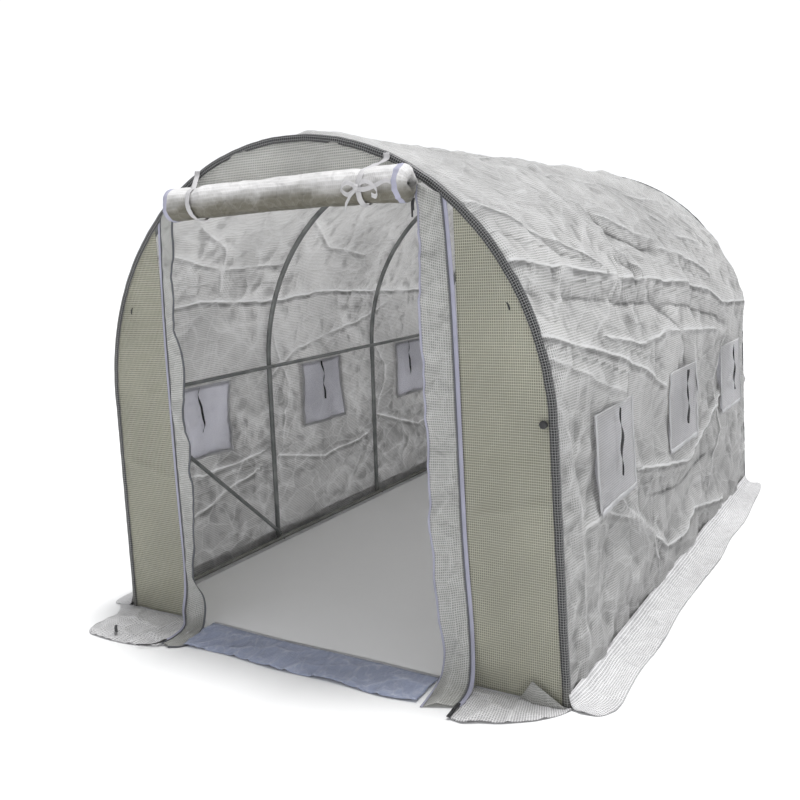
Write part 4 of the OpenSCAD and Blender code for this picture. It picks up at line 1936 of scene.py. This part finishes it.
@dataclass
class DoorStrip:
    """The band beside the doorway, its hem and its half of the zip, down to its tail on the ground.

    Attributes:
        side: Which side of the doorway.
        shape: The tunnel's shape.
        finishes: The materials.
        course: Where its edges run.
        cloth: How it settles.
        width: Width of its flat cut.
    """

    side: Side
    shape: TunnelShape
    finishes: Finishes
    course: StripCourse
    cloth: ClothRun
    width: float = 0.115
    zip_width: float = 0.020
    hem_width: float = 0.009
    rows: int = 190

    def placed(self, points: tuple[Point, ...], count: int) -> Array:
        """Smooth line through points that are given from the front panel's plane."""
        path = smooth_path(points, count)
        path[:, 1] = self.shape.front - 0.0008 - path[:, 1]
        return path

    def build_band(self) -> None:
        """The film of the strip, with the trim along its free edge."""
        right, word = self.side is Side.RIGHT, self.side.word
        hem = self.placed(self.course.hem, self.rows)
        edge = self.placed(self.course.zip_line, self.rows)
        share = np.linspace(0.0, 1.0, 13)
        inner = 1.0 - self.zip_width / 2 / np.linalg.norm(edge - hem, axis=1)
        points = hem[:, None] + (edge - hem)[:, None] * (share[None, :] * inner[:, None])[..., None]
        if right:
            points = points[:, ::-1]
        normals = grid_normals(points)
        normals *= np.sign(np.sum(normals * np.array([0.0, -1.0, 0.3]), -1))[..., None]
        wave = soft_noise(points * np.array([0.8, 1.0, 1.0]), 0.17, 60 + self.side.value, 3)
        fold = facet_noise(points * np.array([2.0, 1.0, 0.55]), 0.12, 0.35, 62 + self.side.value)
        lift = (0.010 * (0.7 + wave) + 0.007 * fold) * np.sin(np.pi * share)[None, :]
        lift += 0.006 * np.clip(wave, -0.6, 1.0) * (share if right else 1.0 - share)[None, :]
        points = points + normals * np.clip(lift, 0.0, 0.03)[..., None]
        flat = flat_grid(share * self.width, travelled(hem))
        hold = np.full(points.shape[:2], 0.06)
        hold[:, 0 if right else -1] = 1.0
        hold[0, :] = 1.0
        settled = self.cloth.settle(points, flat, hold)
        settled[..., 2] = np.maximum(settled[..., 2], 0.0025)
        settled[..., 1] = np.minimum(settled[..., 1], self.shape.front - 0.0006)
        inside_out = bool(np.mean(grid_normals(settled)[:60, :, 1]) > 0)
        name = f"door_strip_{word}_film"
        band = film_mesh(name, settled, flat, 0.0010, self.finishes.strip, flip=inside_out)
        last, near = (-1, -3) if right else (0, 2)
        across = unit(settled[:, last] - settled[:, near])
        lip = settled[:, last] + np.array([0.0, -0.0012, 0.0006]) - across * self.hem_width * 0.35
        # On the left the trim is near black, a painted shade line along the strip's free edge.
        trim = ribbon("hem", lip, across, self.hem_width, 0.0022,
                      self.finishes.zip if right else self.finishes.zip_coil)
        piece = join(name, [band, trim])
        dress(piece, "grid_film")
        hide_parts(f"door_strip_{word}")

    def build_zip(self) -> None:
        """The zip tape with its coil, and its bare black end."""
        word = self.side.word
        line, hem = self.placed(self.course.zip_line, 220), self.placed(self.course.hem, 220)
        across = unit(line - hem)
        line = line + np.array([0.0, -0.0006, 0.0004])
        tape = ribbon("tape", line, across, self.zip_width, 0.0014, self.finishes.zip, [0.0] * 5)
        raised = line - across * (self.zip_width / 2 - 0.002) + np.array([0.0, -0.0022, 0.0010])
        # The coil's near-black colour is painted shadow beside the tape.
        coil = ribbon("coil", raised, across, 0.0055, 0.0022, self.finishes.zip_coil)
        piece = join(f"zip_tape_{word}_band", [tape, coil])
        dress(piece, "zip_tape")
        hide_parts(f"zip_tape_{word}")
        end = self.placed(self.course.zip_end, 16) + np.array([0.0, 0.0, 0.004])
        end_across = (1.0, 0.0, 0.0) if self.side is Side.RIGHT else (0.8, 0.6, 0.0)
        bare = ribbon(f"zip_end_{word}", end, end_across, 0.012, 0.004, self.finishes.plastic)
        dress(bare, "black_plastic")

    def build(self) -> None:
        """Builds the strip and the zip."""
        self.build_band()
        self.build_zip()


@dataclass
class DoorRoll:
    """The door film, rolled up under the arch.

    Attributes:
        finishes: The materials.
        turns: How many times it is wound.
        core: Radius of the hollow in its middle.
        tape: Width of the zip tapes at its ends.
        short_left: How far its left end stays inside the node's box.
        long_right: How far its right end stands out of the node's box.
        ties: Where the ties pinch it, as shares of its length.
    """

    finishes: Finishes
    turns: float = 7.0
    core: float = 0.011
    tape: float = 0.020
    short_left: float = 0.110
    long_right: float = 0.010
    ties: Pair = (0.12, 0.84)

    def __post_init__(self) -> None:
        """Reads the roll's place from the frame."""
        low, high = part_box("door_roll")
        self.left, self.right = low.x + self.short_left, high.x + self.long_right
        self.middle_y, self.middle_z = (low.y + high.y) / 2, (low.z + high.z) / 2
        self.radius = (high.z - low.z) / 2

    def outer_radius(self, x: Array) -> Array:
        """Radius of the outermost turn, a little thinner between the ends and at the ties.

        Args:
            x: Places across the door.

        Returns:
            One radius for each place.
        """
        share = (x - self.left) / (self.right - self.left)
        pinch = sum(0.10 * np.exp(-(((share - tie) / 0.03) ** 2)) for tie in self.ties)
        return self.radius * (0.995 - 0.075 * np.sin(np.pi * share) ** 1.5 - pinch)

    def point(self, x: Array, turn: Array) -> Array:
        """Places on the wound film.

        Args:
            x: Places across the door.
            turn: Turns wound since the core.

        Returns:
            The places, with 3 numbers on the last axis.
        """
        share = turn / self.turns
        radius = self.core + (self.outer_radius(x) - self.core) * share
        angle = 2 * np.pi * (self.turns - turn)
        ring = np.stack([x * 1.6, np.cos(angle) * 0.35, np.sin(angle) * 0.35], -1)
        dent = 0.075 * soft_noise(ring, 0.34, 71, 4) + 0.080 * facet_noise(ring, 0.26, 0.30, 72)
        radius = radius * (0.95 + np.clip(dent, -0.12, 0.06) * (0.3 + 0.7 * share))
        sag = 0.006 * np.sin(np.pi * (x - self.left) / (self.right - self.left)) - 0.004 * np.cos(angle) ** 2
        y = self.middle_y + radius * np.cos(angle)
        return np.stack([x, y, self.middle_z + sag + radius * np.sin(angle)], -1)

    def build(self) -> None:
        """The rolled film with its zip tapes at both ends."""
        turn = np.concatenate([np.linspace(0.0, self.turns - 1.5, 100, endpoint=False),
                               np.linspace(self.turns - 1.5, self.turns, 96)])
        tapes = [self.left + self.tape, self.right - 1.9 * self.tape, self.right - 0.9 * self.tape]
        x = split_lines([self.left, *tapes, self.right - 0.006, self.right], 0.0145)
        grid_x, grid_turn = np.meshgrid(x, turn)
        points = self.point(grid_x, grid_turn)
        ragged = 0.010 * soft_noise(points, 0.05, 75) - 0.014 * (1.0 - grid_turn / self.turns)
        points[..., 0] += np.sign(grid_x) * ragged * (np.abs(grid_x) / 0.6) ** 8
        close = np.clip((grid_x - self.right + 0.020) / 0.020, 0.0, 1.0) ** 1.5 * 0.55
        middle = np.array([self.middle_y, self.middle_z])
        points[..., 1:] += (middle - points[..., 1:]) * close[..., None]
        mean_turn = 2 * math.pi * (self.core + self.radius) / 2
        roll = grid_mesh("door_roll_film", points, flat_grid(x - self.left, turn * mean_turn))
        roll.data.materials.append(self.finishes.roll)
        roll.data.materials.append(self.finishes.zip)
        cells, cell_turn = np.meshgrid((x[1:] + x[:-1]) / 2, turn[1:])
        on_tape = (cells < tapes[0]) | (np.abs(cells - self.right + 1.4 * self.tape) < self.tape / 2)
        on_tape &= cell_turn > self.turns - 1.0
        roll.data.polygons.foreach_set("material_index", on_tape.ravel().astype(np.int32))
        thicken(roll, 0.0010)
        dress(roll, "rolled_film")
        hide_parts("door_roll")


@dataclass
class RollTies:
    """The two white ribbons that hold the roll, one of them with a loose bow."""

    roll: DoorRoll
    shape: TunnelShape
    finishes: Finishes
    width: float = 0.022
    tail_width: float = 0.015
    gap: float = 0.004

    def loop(self, x_top: float, x_low: float) -> Array:
        """Course of a ribbon from the hoop down round the roll and up behind it.

        Args:
            x_top: X where it leaves the hoop.
            x_low: X where it passes under the roll.

        Returns:
            The course's points.
        """
        roll, front = self.roll, self.shape.front
        top_z = self.shape.leg_height + math.sqrt(self.shape.film_radius**2 - x_top**2)
        angles = np.radians(np.linspace(100.0, 385.0, 15))
        xs = np.interp(angles, [angles[0], np.radians(270.0)], [(x_top + 2 * x_low) / 3, x_low])
        radius = 0.96 * roll.outer_radius(xs) + self.gap
        points = [(x_top, front - 0.012, top_z + 0.004), (x_top, front - 0.022, top_z - 0.02)]
        for x, angle, r in zip(xs, angles, radius):
            points.append((x, roll.middle_y + r * math.cos(angle), roll.middle_z + r * math.sin(angle)))
        return smooth_path(points, 90)

    def crumpled(self, name: str, path: Array, across: Point, width: float, seed: int) -> Piece:
        """A ribbon along a path, with soft crumples.

        Args:
            name: The ribbon's name.
            path: Its course.
            across: Direction of its width.
            width: Its width.
            seed: Picks its crumples.

        Returns:
            The ribbon.
        """
        turn = 0.35 * soft_noise(path, 0.06, seed)
        side = unit(np.cross(across, np.gradient(path, axis=0)))
        leaning = unit(np.broadcast_to(across, path.shape) + side * turn[:, None])
        narrow = path + side * (0.0025 * soft_noise(path, 0.03, seed + 1))[:, None]
        return ribbon(name, narrow, leaning, width, 0.0014, self.finishes.ribbon,
                      [0.0, 0.0014, 0.0, 0.0014, 0.0])

    def build_knot(self, y: float, z: float) -> Piece:
        """The lumpy knot in the middle of the bow.

        Args:
            y: Its place in front of the roll.
            z: Height of the roll's middle.

        Returns:
            The knot.
        """
        knot = ball(20, 12, 0.011, (0.410, y - 0.002, z - 0.003), (1.2, 0.8, 1.0))
        places = vertex_places(knot)
        lumps = 0.0025 * soft_noise(places, 0.012, 97)
        places += unit(places - places.mean(0)) * lumps[:, None]
        knot.data.vertices.foreach_set("co", places.astype(np.float32).ravel())
        knot.data.materials.append(self.finishes.ribbon)
        bpy.ops.object.shade_smooth()
        return knot

    def build(self) -> None:
        """Builds both ties."""
        across = (1.0, 0.0, 0.0)
        plain = self.crumpled("roll_tie_left_ribbon", self.loop(-0.408, -0.350), across, self.width, 81)
        parts = [self.crumpled("tie", self.loop(0.445, 0.395), across, self.width, 85)]
        y = self.roll.middle_y - self.roll.radius - 0.010
        z = self.roll.middle_z
        tails = (
            ((0.412, 0.0, -0.006), (0.438, -0.012, 0.012), (0.470, -0.020, 0.008), (0.492, -0.012, -0.016),
             (0.480, 0.004, -0.036), (0.464, 0.004, -0.030)),
            ((0.412, 0.0, -0.006), (0.442, -0.006, -0.012), (0.486, -0.010, -0.004), (0.518, 0.004, 0.010),
             (0.532, 0.012, 0.004)),
            ((0.412, 0.0, -0.004), (0.392, -0.010, -0.026), (0.370, -0.006, -0.052), (0.358, 0.006, -0.070)),
            ((0.410, 0.0, 0.0), (0.380, -0.014, 0.014), (0.356, -0.012, -0.004), (0.370, 0.0, -0.024),
             (0.402, 0.0, -0.012)),
        )
        for index, tail in enumerate(tails):
            path = smooth_path([(x, y + out, z + up) for x, out, up in tail], 26)
            parts.append(self.crumpled("tail", path, (0.15, -0.25, 1.0), self.tail_width, 90 + index))
        parts.append(self.build_knot(y, z))
        bow = join("roll_tie_right_ribbon", parts)
        for piece, node, length in ((plain, "roll_tie_left", 0.55), (bow, "roll_tie_right", 1.05)):
            dress(piece, "ribbon")
            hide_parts(node)


# ---- Ground skirts ----


@dataclass(frozen=True)
class SkirtCourse:
    """Outline of a sheet on the ground, as (x, y) from the front film's plane.

    Attributes:
        node: The frame's node that it stands for.
        inner: Its sewn edge.
        outer: Its free edge.
        slot: Its material slot in the record.
        rise: How high its sewn edge climbs the wall.
        ripple: Height of its ripples.
        flat: Its cut size.
    """

    node: str
    inner: tuple[Pair, ...]
    outer: tuple[Pair, ...]
    slot: str
    rise: float
    ripple: float
    flat: Pair


@dataclass
class GroundSheets:
    """The loose film round the foot of the tunnel."""

    shape: TunnelShape
    finishes: Finishes
    cloth: ClothRun
    cell: float = 0.0125
    lowest: float = 0.0022

    def courses(self) -> list[SkirtCourse]:
        """Outline of every sheet."""
        foot = self.shape.foot_x + self.shape.film_offset + 0.0025
        end = self.shape.back - self.shape.front
        return [
            SkirtCourse(
                "skirt_right",
                ((foot, -0.004), (foot, end * 0.5), (foot, end + 0.004)),
                ((1.088, -0.016), (1.142, -0.006), (1.172, 0.030), (1.188, 0.10), (1.176, 0.35),
                 (1.186, 0.62), (1.172, 0.95), (1.180, 1.30), (1.190, 1.62), (1.176, 1.95), (1.186, 2.25),
                 (1.168, 2.62), (1.150, 2.95), (1.120, end + 0.010)),
                "skirt_film", 0.050, 0.007, (0.15, 3.06)),
            SkirtCourse(
                "skirt_left",
                ((-foot, end + 0.004), (-foot, end * 0.5), (-foot, -0.004)),
                ((-1.120, end + 0.010), (-1.165, 2.90), (-1.180, 2.4), (-1.170, 1.8), (-1.185, 1.2),
                 (-1.172, 0.7), (-1.182, 0.30), (-1.176, 0.06), (-1.150, -0.012), (-1.100, -0.020)),
                "skirt_film", 0.050, 0.007, (0.15, 3.06)),
            SkirtCourse(
                "skirt_back",
                ((foot, end + 0.003), (0.0, end + 0.003), (-foot, end + 0.003)),
                ((1.02, end + 0.150), (0.93, end + 0.215), (0.60, end + 0.228), (0.20, end + 0.215),
                 (-0.25, end + 0.230), (-0.62, end + 0.218), (-0.95, end + 0.205), (-1.03, end + 0.14)),
                "skirt_film", 0.050, 0.008, (2.08, 0.23)),
            SkirtCourse(
                "skirt_front_right",
                ((0.690, -0.003), (0.86, -0.003), (foot, -0.003)),
                ((0.715, -0.236), (0.765, -0.240), (0.815, -0.214), (0.870, -0.192), (0.925, -0.157),
                 (0.978, -0.117), (1.025, -0.062), (1.052, -0.012)),
                "skirt_film", 0.0, 0.007, (0.36, 0.24)),
            SkirtCourse(
                "skirt_front_left",
                ((-foot, 0.016), (-0.93, -0.008), (-0.78, -0.004), (-0.60, -0.004)),
                ((-1.100, -0.030), (-1.055, -0.072), (-1.022, -0.128), (-1.024, -0.180), (-1.040, -0.216),
                 (-1.015, -0.262), (-0.985, -0.296), (-0.915, -0.306), (-0.80, -0.306), (-0.695, -0.292),
                 (-0.618, -0.262), (-0.568, -0.216)),
                "skirt_film", 0.0, 0.009, (0.44, 0.30)),
            SkirtCourse(
                "sill_flap",
                ((-0.560, 0.012), (-0.20, 0.000), (0.20, 0.004), (0.550, 0.0)),
                ((-0.520, -0.212), (-0.30, -0.200), (-0.05, -0.212), (0.20, -0.200), (0.42, -0.208),
                 (0.560, -0.190)),
                "sill_film", 0.0, 0.009, (1.09, 0.215)),
        ]

    def build_sheet(self, course: SkirtCourse, seed: int) -> None:
        """Shapes, settles and dresses one sheet.

        Args:
            course: Its outline.
            seed: Picks its ripples.
        """
        width, length = min(course.flat), max(course.flat)
        columns = max(8, math.ceil(length / self.cell))
        front = self.shape.front
        inner = smooth_path([(x, y + front, 0.0) for x, y in course.inner], columns)
        outer = smooth_path([(x, y + front, 0.0) for x, y in course.outer], columns)
        rows = max(8, math.ceil(width / self.cell)) + (5 if course.rise else 0)
        share = np.linspace(0.0, 1.0, rows)
        ground = share * width
        climb = course.rise * np.exp(-((ground / 0.030) ** 1.4))
        pull = 0.125 * (course.rise - climb) * np.exp(-ground / 0.05)
        points = inner[None] + (outer - inner)[None] * share[:, None, None]
        points = points - unit(outer - inner)[None] * pull[:, None, None]
        hills = soft_noise(points, 0.16, seed, 3)
        creases = facet_noise(points, 0.13, 0.3, seed + 1)
        free = np.clip(ground / 0.05, 0.0, 1.0)[:, None]
        height = course.ripple * (np.clip(hills + 0.25, 0.0, 1.2) + 0.8 * creases) * free
        points[..., 2] = self.lowest + climb[:, None] + height
        flat = flat_grid(np.linspace(0.0, length, columns), ground)
        hold = np.where(np.broadcast_to(ground[:, None], points.shape[:2]) < 0.012, 1.0, 0.6)
        settled = self.cloth.settle(points, flat, hold)
        settled[..., 2] = np.maximum(settled[..., 2], self.lowest)
        upside_down = float(np.mean(grid_normals(settled)[..., 2])) < 0
        film = self.finishes.sill if course.slot == "sill_film" else self.finishes.skirt
        parts = [film_mesh("skirt", settled, flat, 0.0012, film, flip=upside_down)]
        if not course.rise:
            line = settled[0] + np.array([0.0, 0.0, 0.0022])
            across = (settled[1] - settled[0]) * np.array([1.0, 1.0, 0.0])
            parts.append(ribbon("hem", line, across, 0.013, 0.0026, self.finishes.hem))
        piece = join(course.node + "_film", parts)
        dress(piece, course.slot)
        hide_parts(course.node)

    def build_corner(self) -> None:
        """The corner of film that stands up at the foot of the right front panel."""
        width, height = 0.17, 0.085
        share = np.linspace(0.0, 1.0, 14)
        across, up = np.meshgrid(share, share)
        x = 0.952 + (across - 0.5) * width * (1.0 - 0.96 * up) - 0.030 * up
        y = self.shape.front - 0.012 - 0.020 * np.sin(np.pi * across) * (1 - up) - 0.012 * up
        z = self.lowest + 0.078 * up + 0.006 * np.sin(3 * np.pi * across) ** 2 * (1 - up)
        flat = flat_grid(share * width, share * height)
        corner = film_mesh("skirt_corner_right", np.stack([x, y, z], -1), flat, 0.0010, self.finishes.strip)
        dress(corner, "skirt_film")

    def build_inner_hem(self, side: Side) -> None:
        """The white hem that lies along the inside of a ground tube.

        Args:
            side: Which side wall.
        """
        low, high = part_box(f"ground_tube_{side.word}")
        inside = low.x if side is Side.RIGHT else high.x
        y = np.linspace(self.shape.front + 0.04, self.shape.back - 0.04, 260)
        line = np.stack([np.full(y.shape, inside - side.value * 0.007), y, np.full(y.shape, 0.0062)], -1)
        line[:, 0] -= side.value * 0.003 * (1.0 + soft_noise(line, 0.25, 131))
        hem = ribbon(f"ground_hem_{side.word}", line, (-side.value, 0.0, -0.30), 0.020, 0.0022,
                     self.finishes.hem, [0.0] * 4)
        dress(hem, "woven_film")

    def build(self) -> None:
        """Builds every ground sheet."""
        for side in Side:
            self.build_inner_hem(side)
        for number, course in enumerate(self.courses()):
            self.build_sheet(course, 100 + 4 * number)
        self.build_corner()


# ---- Steelwork details ----


@dataclass
class Steelwork:
    """Finish of the tubes, and the bolts, collars and clips on them."""

    shape: TunnelShape
    finishes: Finishes
    collar_length: float = 0.070
    collar_wall: float = 0.0011
    smooth_angle: float = 40.0

    def paint_tubes(self) -> None:
        """Gives every tube of the frame its paint, and the purlins' plugs their plastic."""
        for name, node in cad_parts.items():
            if name.split("_")[0] in ("hoop", "ridge", "purlin", "ground", "brace"):
                material = self.finishes.plastic if name == "purlin_plugs" else self.finishes.tube
                node.data.materials.clear()
                node.data.materials.append(material)

    def bolt_model(self) -> Piece:
        """A small bolt's end with a washer and a hexagon nut, along Z."""
        nut = cylinder(6, 0.0058, 0.0048, 0.0036)
        bevel(nut, 0.0006)
        stud = ball(14, 8, 0.0030, (0.0, 0.0, 0.0066), (1.0, 1.0, 0.7))
        return join("bolt", [cylinder(20, 0.0070, 0.0012, 0.0006), nut, stud])

    def turned(self, place: Point, direction: Point) -> Matrix:
        """Place of a model whose Z axis points along a direction."""
        turn = Vector(direction).to_track_quat("Z", "Y").to_matrix().to_4x4()
        return Matrix.Translation(Vector(place)) @ turn

    def build_bolts(self) -> None:
        """Nuts where the purlins, the ground tubes, the ridge and the braces are bolted on."""
        shape = self.shape
        purlin_low, purlin_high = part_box("purlin_right")
        ridge_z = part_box("ridge_purlin")[0].z
        ground_low, ground_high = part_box("ground_tube_right")
        rows = ((purlin_low.x, (purlin_low.z + purlin_high.z) / 2),
                (ground_low.x, (ground_low.z + ground_high.z) / 2))
        places = [self.turned((0.0, y, ridge_z), (0, 0, -1)) for y in shape.hoop_ys]
        for sign in (side.value for side in Side):
            places += [self.turned((sign * x, y, z), (-sign, 0, 0)) for y in shape.hoop_ys for x, z in rows]
        for side in Side:
            low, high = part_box(f"brace_{side.word}")
            for y, z in ((shape.hoop_ys[0], high.z - 0.013), (shape.hoop_ys[1], low.z + 0.013)):
                x = float(shape.half_width(z)) - shape.film_offset - shape.tube_r - 0.0034
                places.append(self.turned((side.value * x, y, z), (-side.value, 0, 0)))
        dress(copies("frame_bolts", self.bolt_model(), places), "steel_tube", self.finishes.tube)

    def build_collars(self) -> None:
        """Swaged collars where each arc is pushed onto its legs."""
        shape = self.shape
        collar = cylinder(40, shape.tube_r + self.collar_wall, self.collar_length)
        bevel(collar, 0.0009, 50.0)
        bpy.ops.object.shade_smooth_by_angle(angle=math.radians(self.smooth_angle))
        lean = math.atan2(shape.foot_x - shape.arc_radius, shape.leg_height)
        below = self.collar_length / 2 + 0.001
        places = []
        for y in shape.hoop_ys:
            for side in Side:
                x = side.value * (shape.arc_radius + below * math.tan(lean))
                turn = Matrix.Rotation(-side.value * lean, 4, "Y")
                places.append(Matrix.Translation((x, y, shape.leg_height - below)) @ turn)
        dress(copies("hoop_collars", collar, places), "steel_tube", self.finishes.tube)

    def build_knob(self) -> None:
        """The round black knob on the right front leg."""
        low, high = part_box("purlin_right")
        knob = cylinder(32, 0.0135, 0.010)
        bpy.ops.object.mode_set(mode="EDIT")
        bpy.ops.mesh.select_mode(type="FACE")
        bpy.ops.mesh.select_all(action="DESELECT")
        bpy.ops.object.mode_set(mode="OBJECT")
        for polygon in knob.data.polygons:
            polygon.select = polygon.normal.z > 0.9
        bpy.ops.object.mode_set(mode="EDIT")
        bpy.ops.mesh.inset(thickness=0.004, depth=0.0025)
        bpy.ops.mesh.inset(thickness=0.004, depth=-0.0015)
        bpy.ops.object.mode_set(mode="OBJECT")
        bevel(knob, 0.0012)
        bpy.ops.object.shade_smooth_by_angle(angle=math.radians(self.smooth_angle))
        place = ((low.x + high.x) / 2, self.shape.front - 0.009, (low.z + high.z) / 2)
        knob = copies("leg_knob", knob, [self.turned(place, (0, -1, 0))])
        dress(knob, "black_plastic", self.finishes.plastic)

    def build_clips(self) -> None:
        """Short black ties that hold the front film to the front hoop."""
        made = []
        y = self.shape.hoop_ys[0] - self.shape.tube_r + 0.001
        for side in Side:
            for x, low, high in ((0.870, 1.322, 1.362), (0.909, 1.322, 1.364)):
                z = np.linspace(low, high, 8)
                bow = 0.003 * np.sin(np.linspace(0.0, np.pi, 8))
                line = np.stack([side.value * (x - 0.4 * (z - low) + bow), y - bow, z], -1)
                made.append(ribbon("clip", line, (1.0, 0.0, 0.0), 0.007, 0.0016, self.finishes.plastic))
        dress(join("hoop_clips", made), "black_plastic")

    def build_tapes(self) -> None:
        """The zip slider with its puller on the right strip, and the tape end on the left front skirt."""
        y = self.shape.front
        slider = ((0.541, y - 0.012, 1.702), (0.538, y - 0.014, 1.685), (0.536, y - 0.012, 1.662))
        puller = ((0.536, y - 0.016, 1.664), (0.537, y - 0.018, 1.650), (0.536, y - 0.017, 1.640))
        loose = ((-0.905, y - 0.222, 0.022), (-0.880, y - 0.245, 0.024), (-0.850, y - 0.268, 0.022))
        plastic = self.finishes.plastic
        body = ribbon("slider", smooth_path(slider, 10), (1.0, 0.2, 0.0), 0.010, 0.005, plastic)
        tag = ribbon("puller", smooth_path(puller, 6), (1.0, 0.2, 0.0), 0.006, 0.002, plastic)
        dress(join("zip_slider", [body, tag]), "black_plastic")
        tape = ribbon("skirt_tape_left", smooth_path(loose, 12), (0.7, 0.7, 0.0), 0.012, 0.002, plastic)
        dress(tape, "black_plastic")

    def build(self) -> None:
        """Builds every detail."""
        self.paint_tubes()
        self.build_bolts()
        self.build_collars()
        self.build_knob()
        self.build_clips()
        self.build_tapes()


# ---- Stage ----


@dataclass(frozen=True)
class Stage:
    """Camera, soft light and a pale floor."""

    eye: Point = (2.045, -4.059, 1.532)
    heading: float = 31.885
    tilt: float = -9.584
    roll: float = -2.991
    lens: float = 39.66
    sky: float = 0.60
    seen_sky: float = 1.1

    def build_camera(self) -> None:
        """Sets the camera at eye height, looking into the doorway from the right."""
        data = bpy.data.cameras.new("camera")
        data.lens = self.lens
        data.sensor_width = 36.0
        camera = bpy.data.objects.new("camera", data)
        bpy.context.scene.collection.objects.link(camera)
        turn = (
            Matrix.Rotation(math.radians(self.heading), 4, "Z")
            @ Matrix.Rotation(math.radians(90.0 + self.tilt), 4, "X")
            @ Matrix.Rotation(math.radians(self.roll), 4, "Z")
        )
        camera.matrix_world = Matrix.Translation(Vector(self.eye)) @ turn
        bpy.context.scene.camera = camera

    def build_light(self, name: str, source: Point, strength: float, angle: float) -> None:
        """Adds a soft light that comes evenly from one direction.

        Args:
            name: The light's name.
            source: Direction that it comes from.
            strength: Its strength.
            angle: How wide it is, in degrees.
        """
        data = bpy.data.lights.new(name, "SUN")
        data.energy = strength
        data.angle = math.radians(angle)
        light = bpy.data.objects.new(name, data)
        bpy.context.scene.collection.objects.link(light)
        light.matrix_world = Vector(source).to_track_quat("Z", "Y").to_matrix().to_4x4()

    def build_floor(self) -> None:
        """A pale matt floor that runs out of sight."""
        bpy.ops.object.select_all(action="DESELECT")
        bpy.ops.mesh.primitive_plane_add(size=80.0, location=(0, 0, 0))
        floor = bpy.context.active_object
        floor.name = "floor"
        material, bench, shader, places = new_material("pale_floor")
        haze = bench.cloud(places.outputs["Object"], 3.0).outputs["Fac"]
        bench.feed(shader.inputs["Base Color"], bench.mix(haze, (0.86, 0.86, 0.86), (0.89, 0.89, 0.89)))
        shader.inputs["Roughness"].default_value = 0.9
        finish_material(bench, shader.outputs[0])
        floor.data.materials.append(material)

    def build_world(self) -> None:
        """An even pale sky, brighter where it is seen straight."""
        world = bpy.data.worlds.new("sky")
        world.use_nodes = True
        background = world.node_tree.nodes["Background"]
        background.inputs["Color"].default_value = (0.97, 0.98, 1.0, 1.0)
        bench = NodeBench(world.node_tree)
        seen = bench.add("ShaderNodeLightPath").outputs["Is Camera Ray"]
        strength = bench.plus(self.sky, bench.times(seen, self.seen_sky - self.sky))
        bench.feed(background.inputs["Strength"], strength)
        bpy.context.scene.world = world

    def build(self) -> None:
        """Builds the whole stage."""
        self.build_camera()
        self.build_floor()
        self.build_world()
        self.build_light("high_light", (0.13, 0.12, 0.98), 3.0, 15.0)
        bpy.context.scene.view_settings.view_transform = "Standard"


def main() -> None:
    """Builds the tunnel's looks in order and reports each part."""
    logging.basicConfig(level=logging.INFO, format="%(message)s")
    Stage().build()
    shape = TunnelShape.from_frame()
    LOG.info("shape: arc %.3f, legs %.3f, foot %.3f", shape.arc_radius, shape.leg_height, shape.foot_x)
    finishes = Finishes()
    cover = Cover(shape, WindowLayout.for_shape(shape), finishes)
    cover.build(ClothRun(frames=14, growth=0.008))
    LOG.info("cover built")
    Windows(cover, finishes).build()
    LOG.info("windows built")
    seam_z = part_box("front_panel_top")[0].z
    zip_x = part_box("front_panel_right")[0].x
    EndWalls(shape, finishes, seam_z, zip_x, ClothRun(frames=10, growth=0.003, bending=1.0)).build()
    LOG.info("end walls built")
    for side in Side:
        DoorStrip(side, shape, finishes, STRIP_COURSES[side], ClothRun(frames=12, growth=0.012)).build()
    roll = DoorRoll(finishes)
    roll.build()
    RollTies(roll, shape, finishes).build()
    LOG.info("doorway built")
    GroundSheets(shape, finishes, ClothRun(frames=12, growth=0.02, weight=0.3)).build()
    LOG.info("ground sheets built")
    Steelwork(shape, finishes).build()
    LOG.info("steelwork built")


if __name__ == "__main__":
    main()
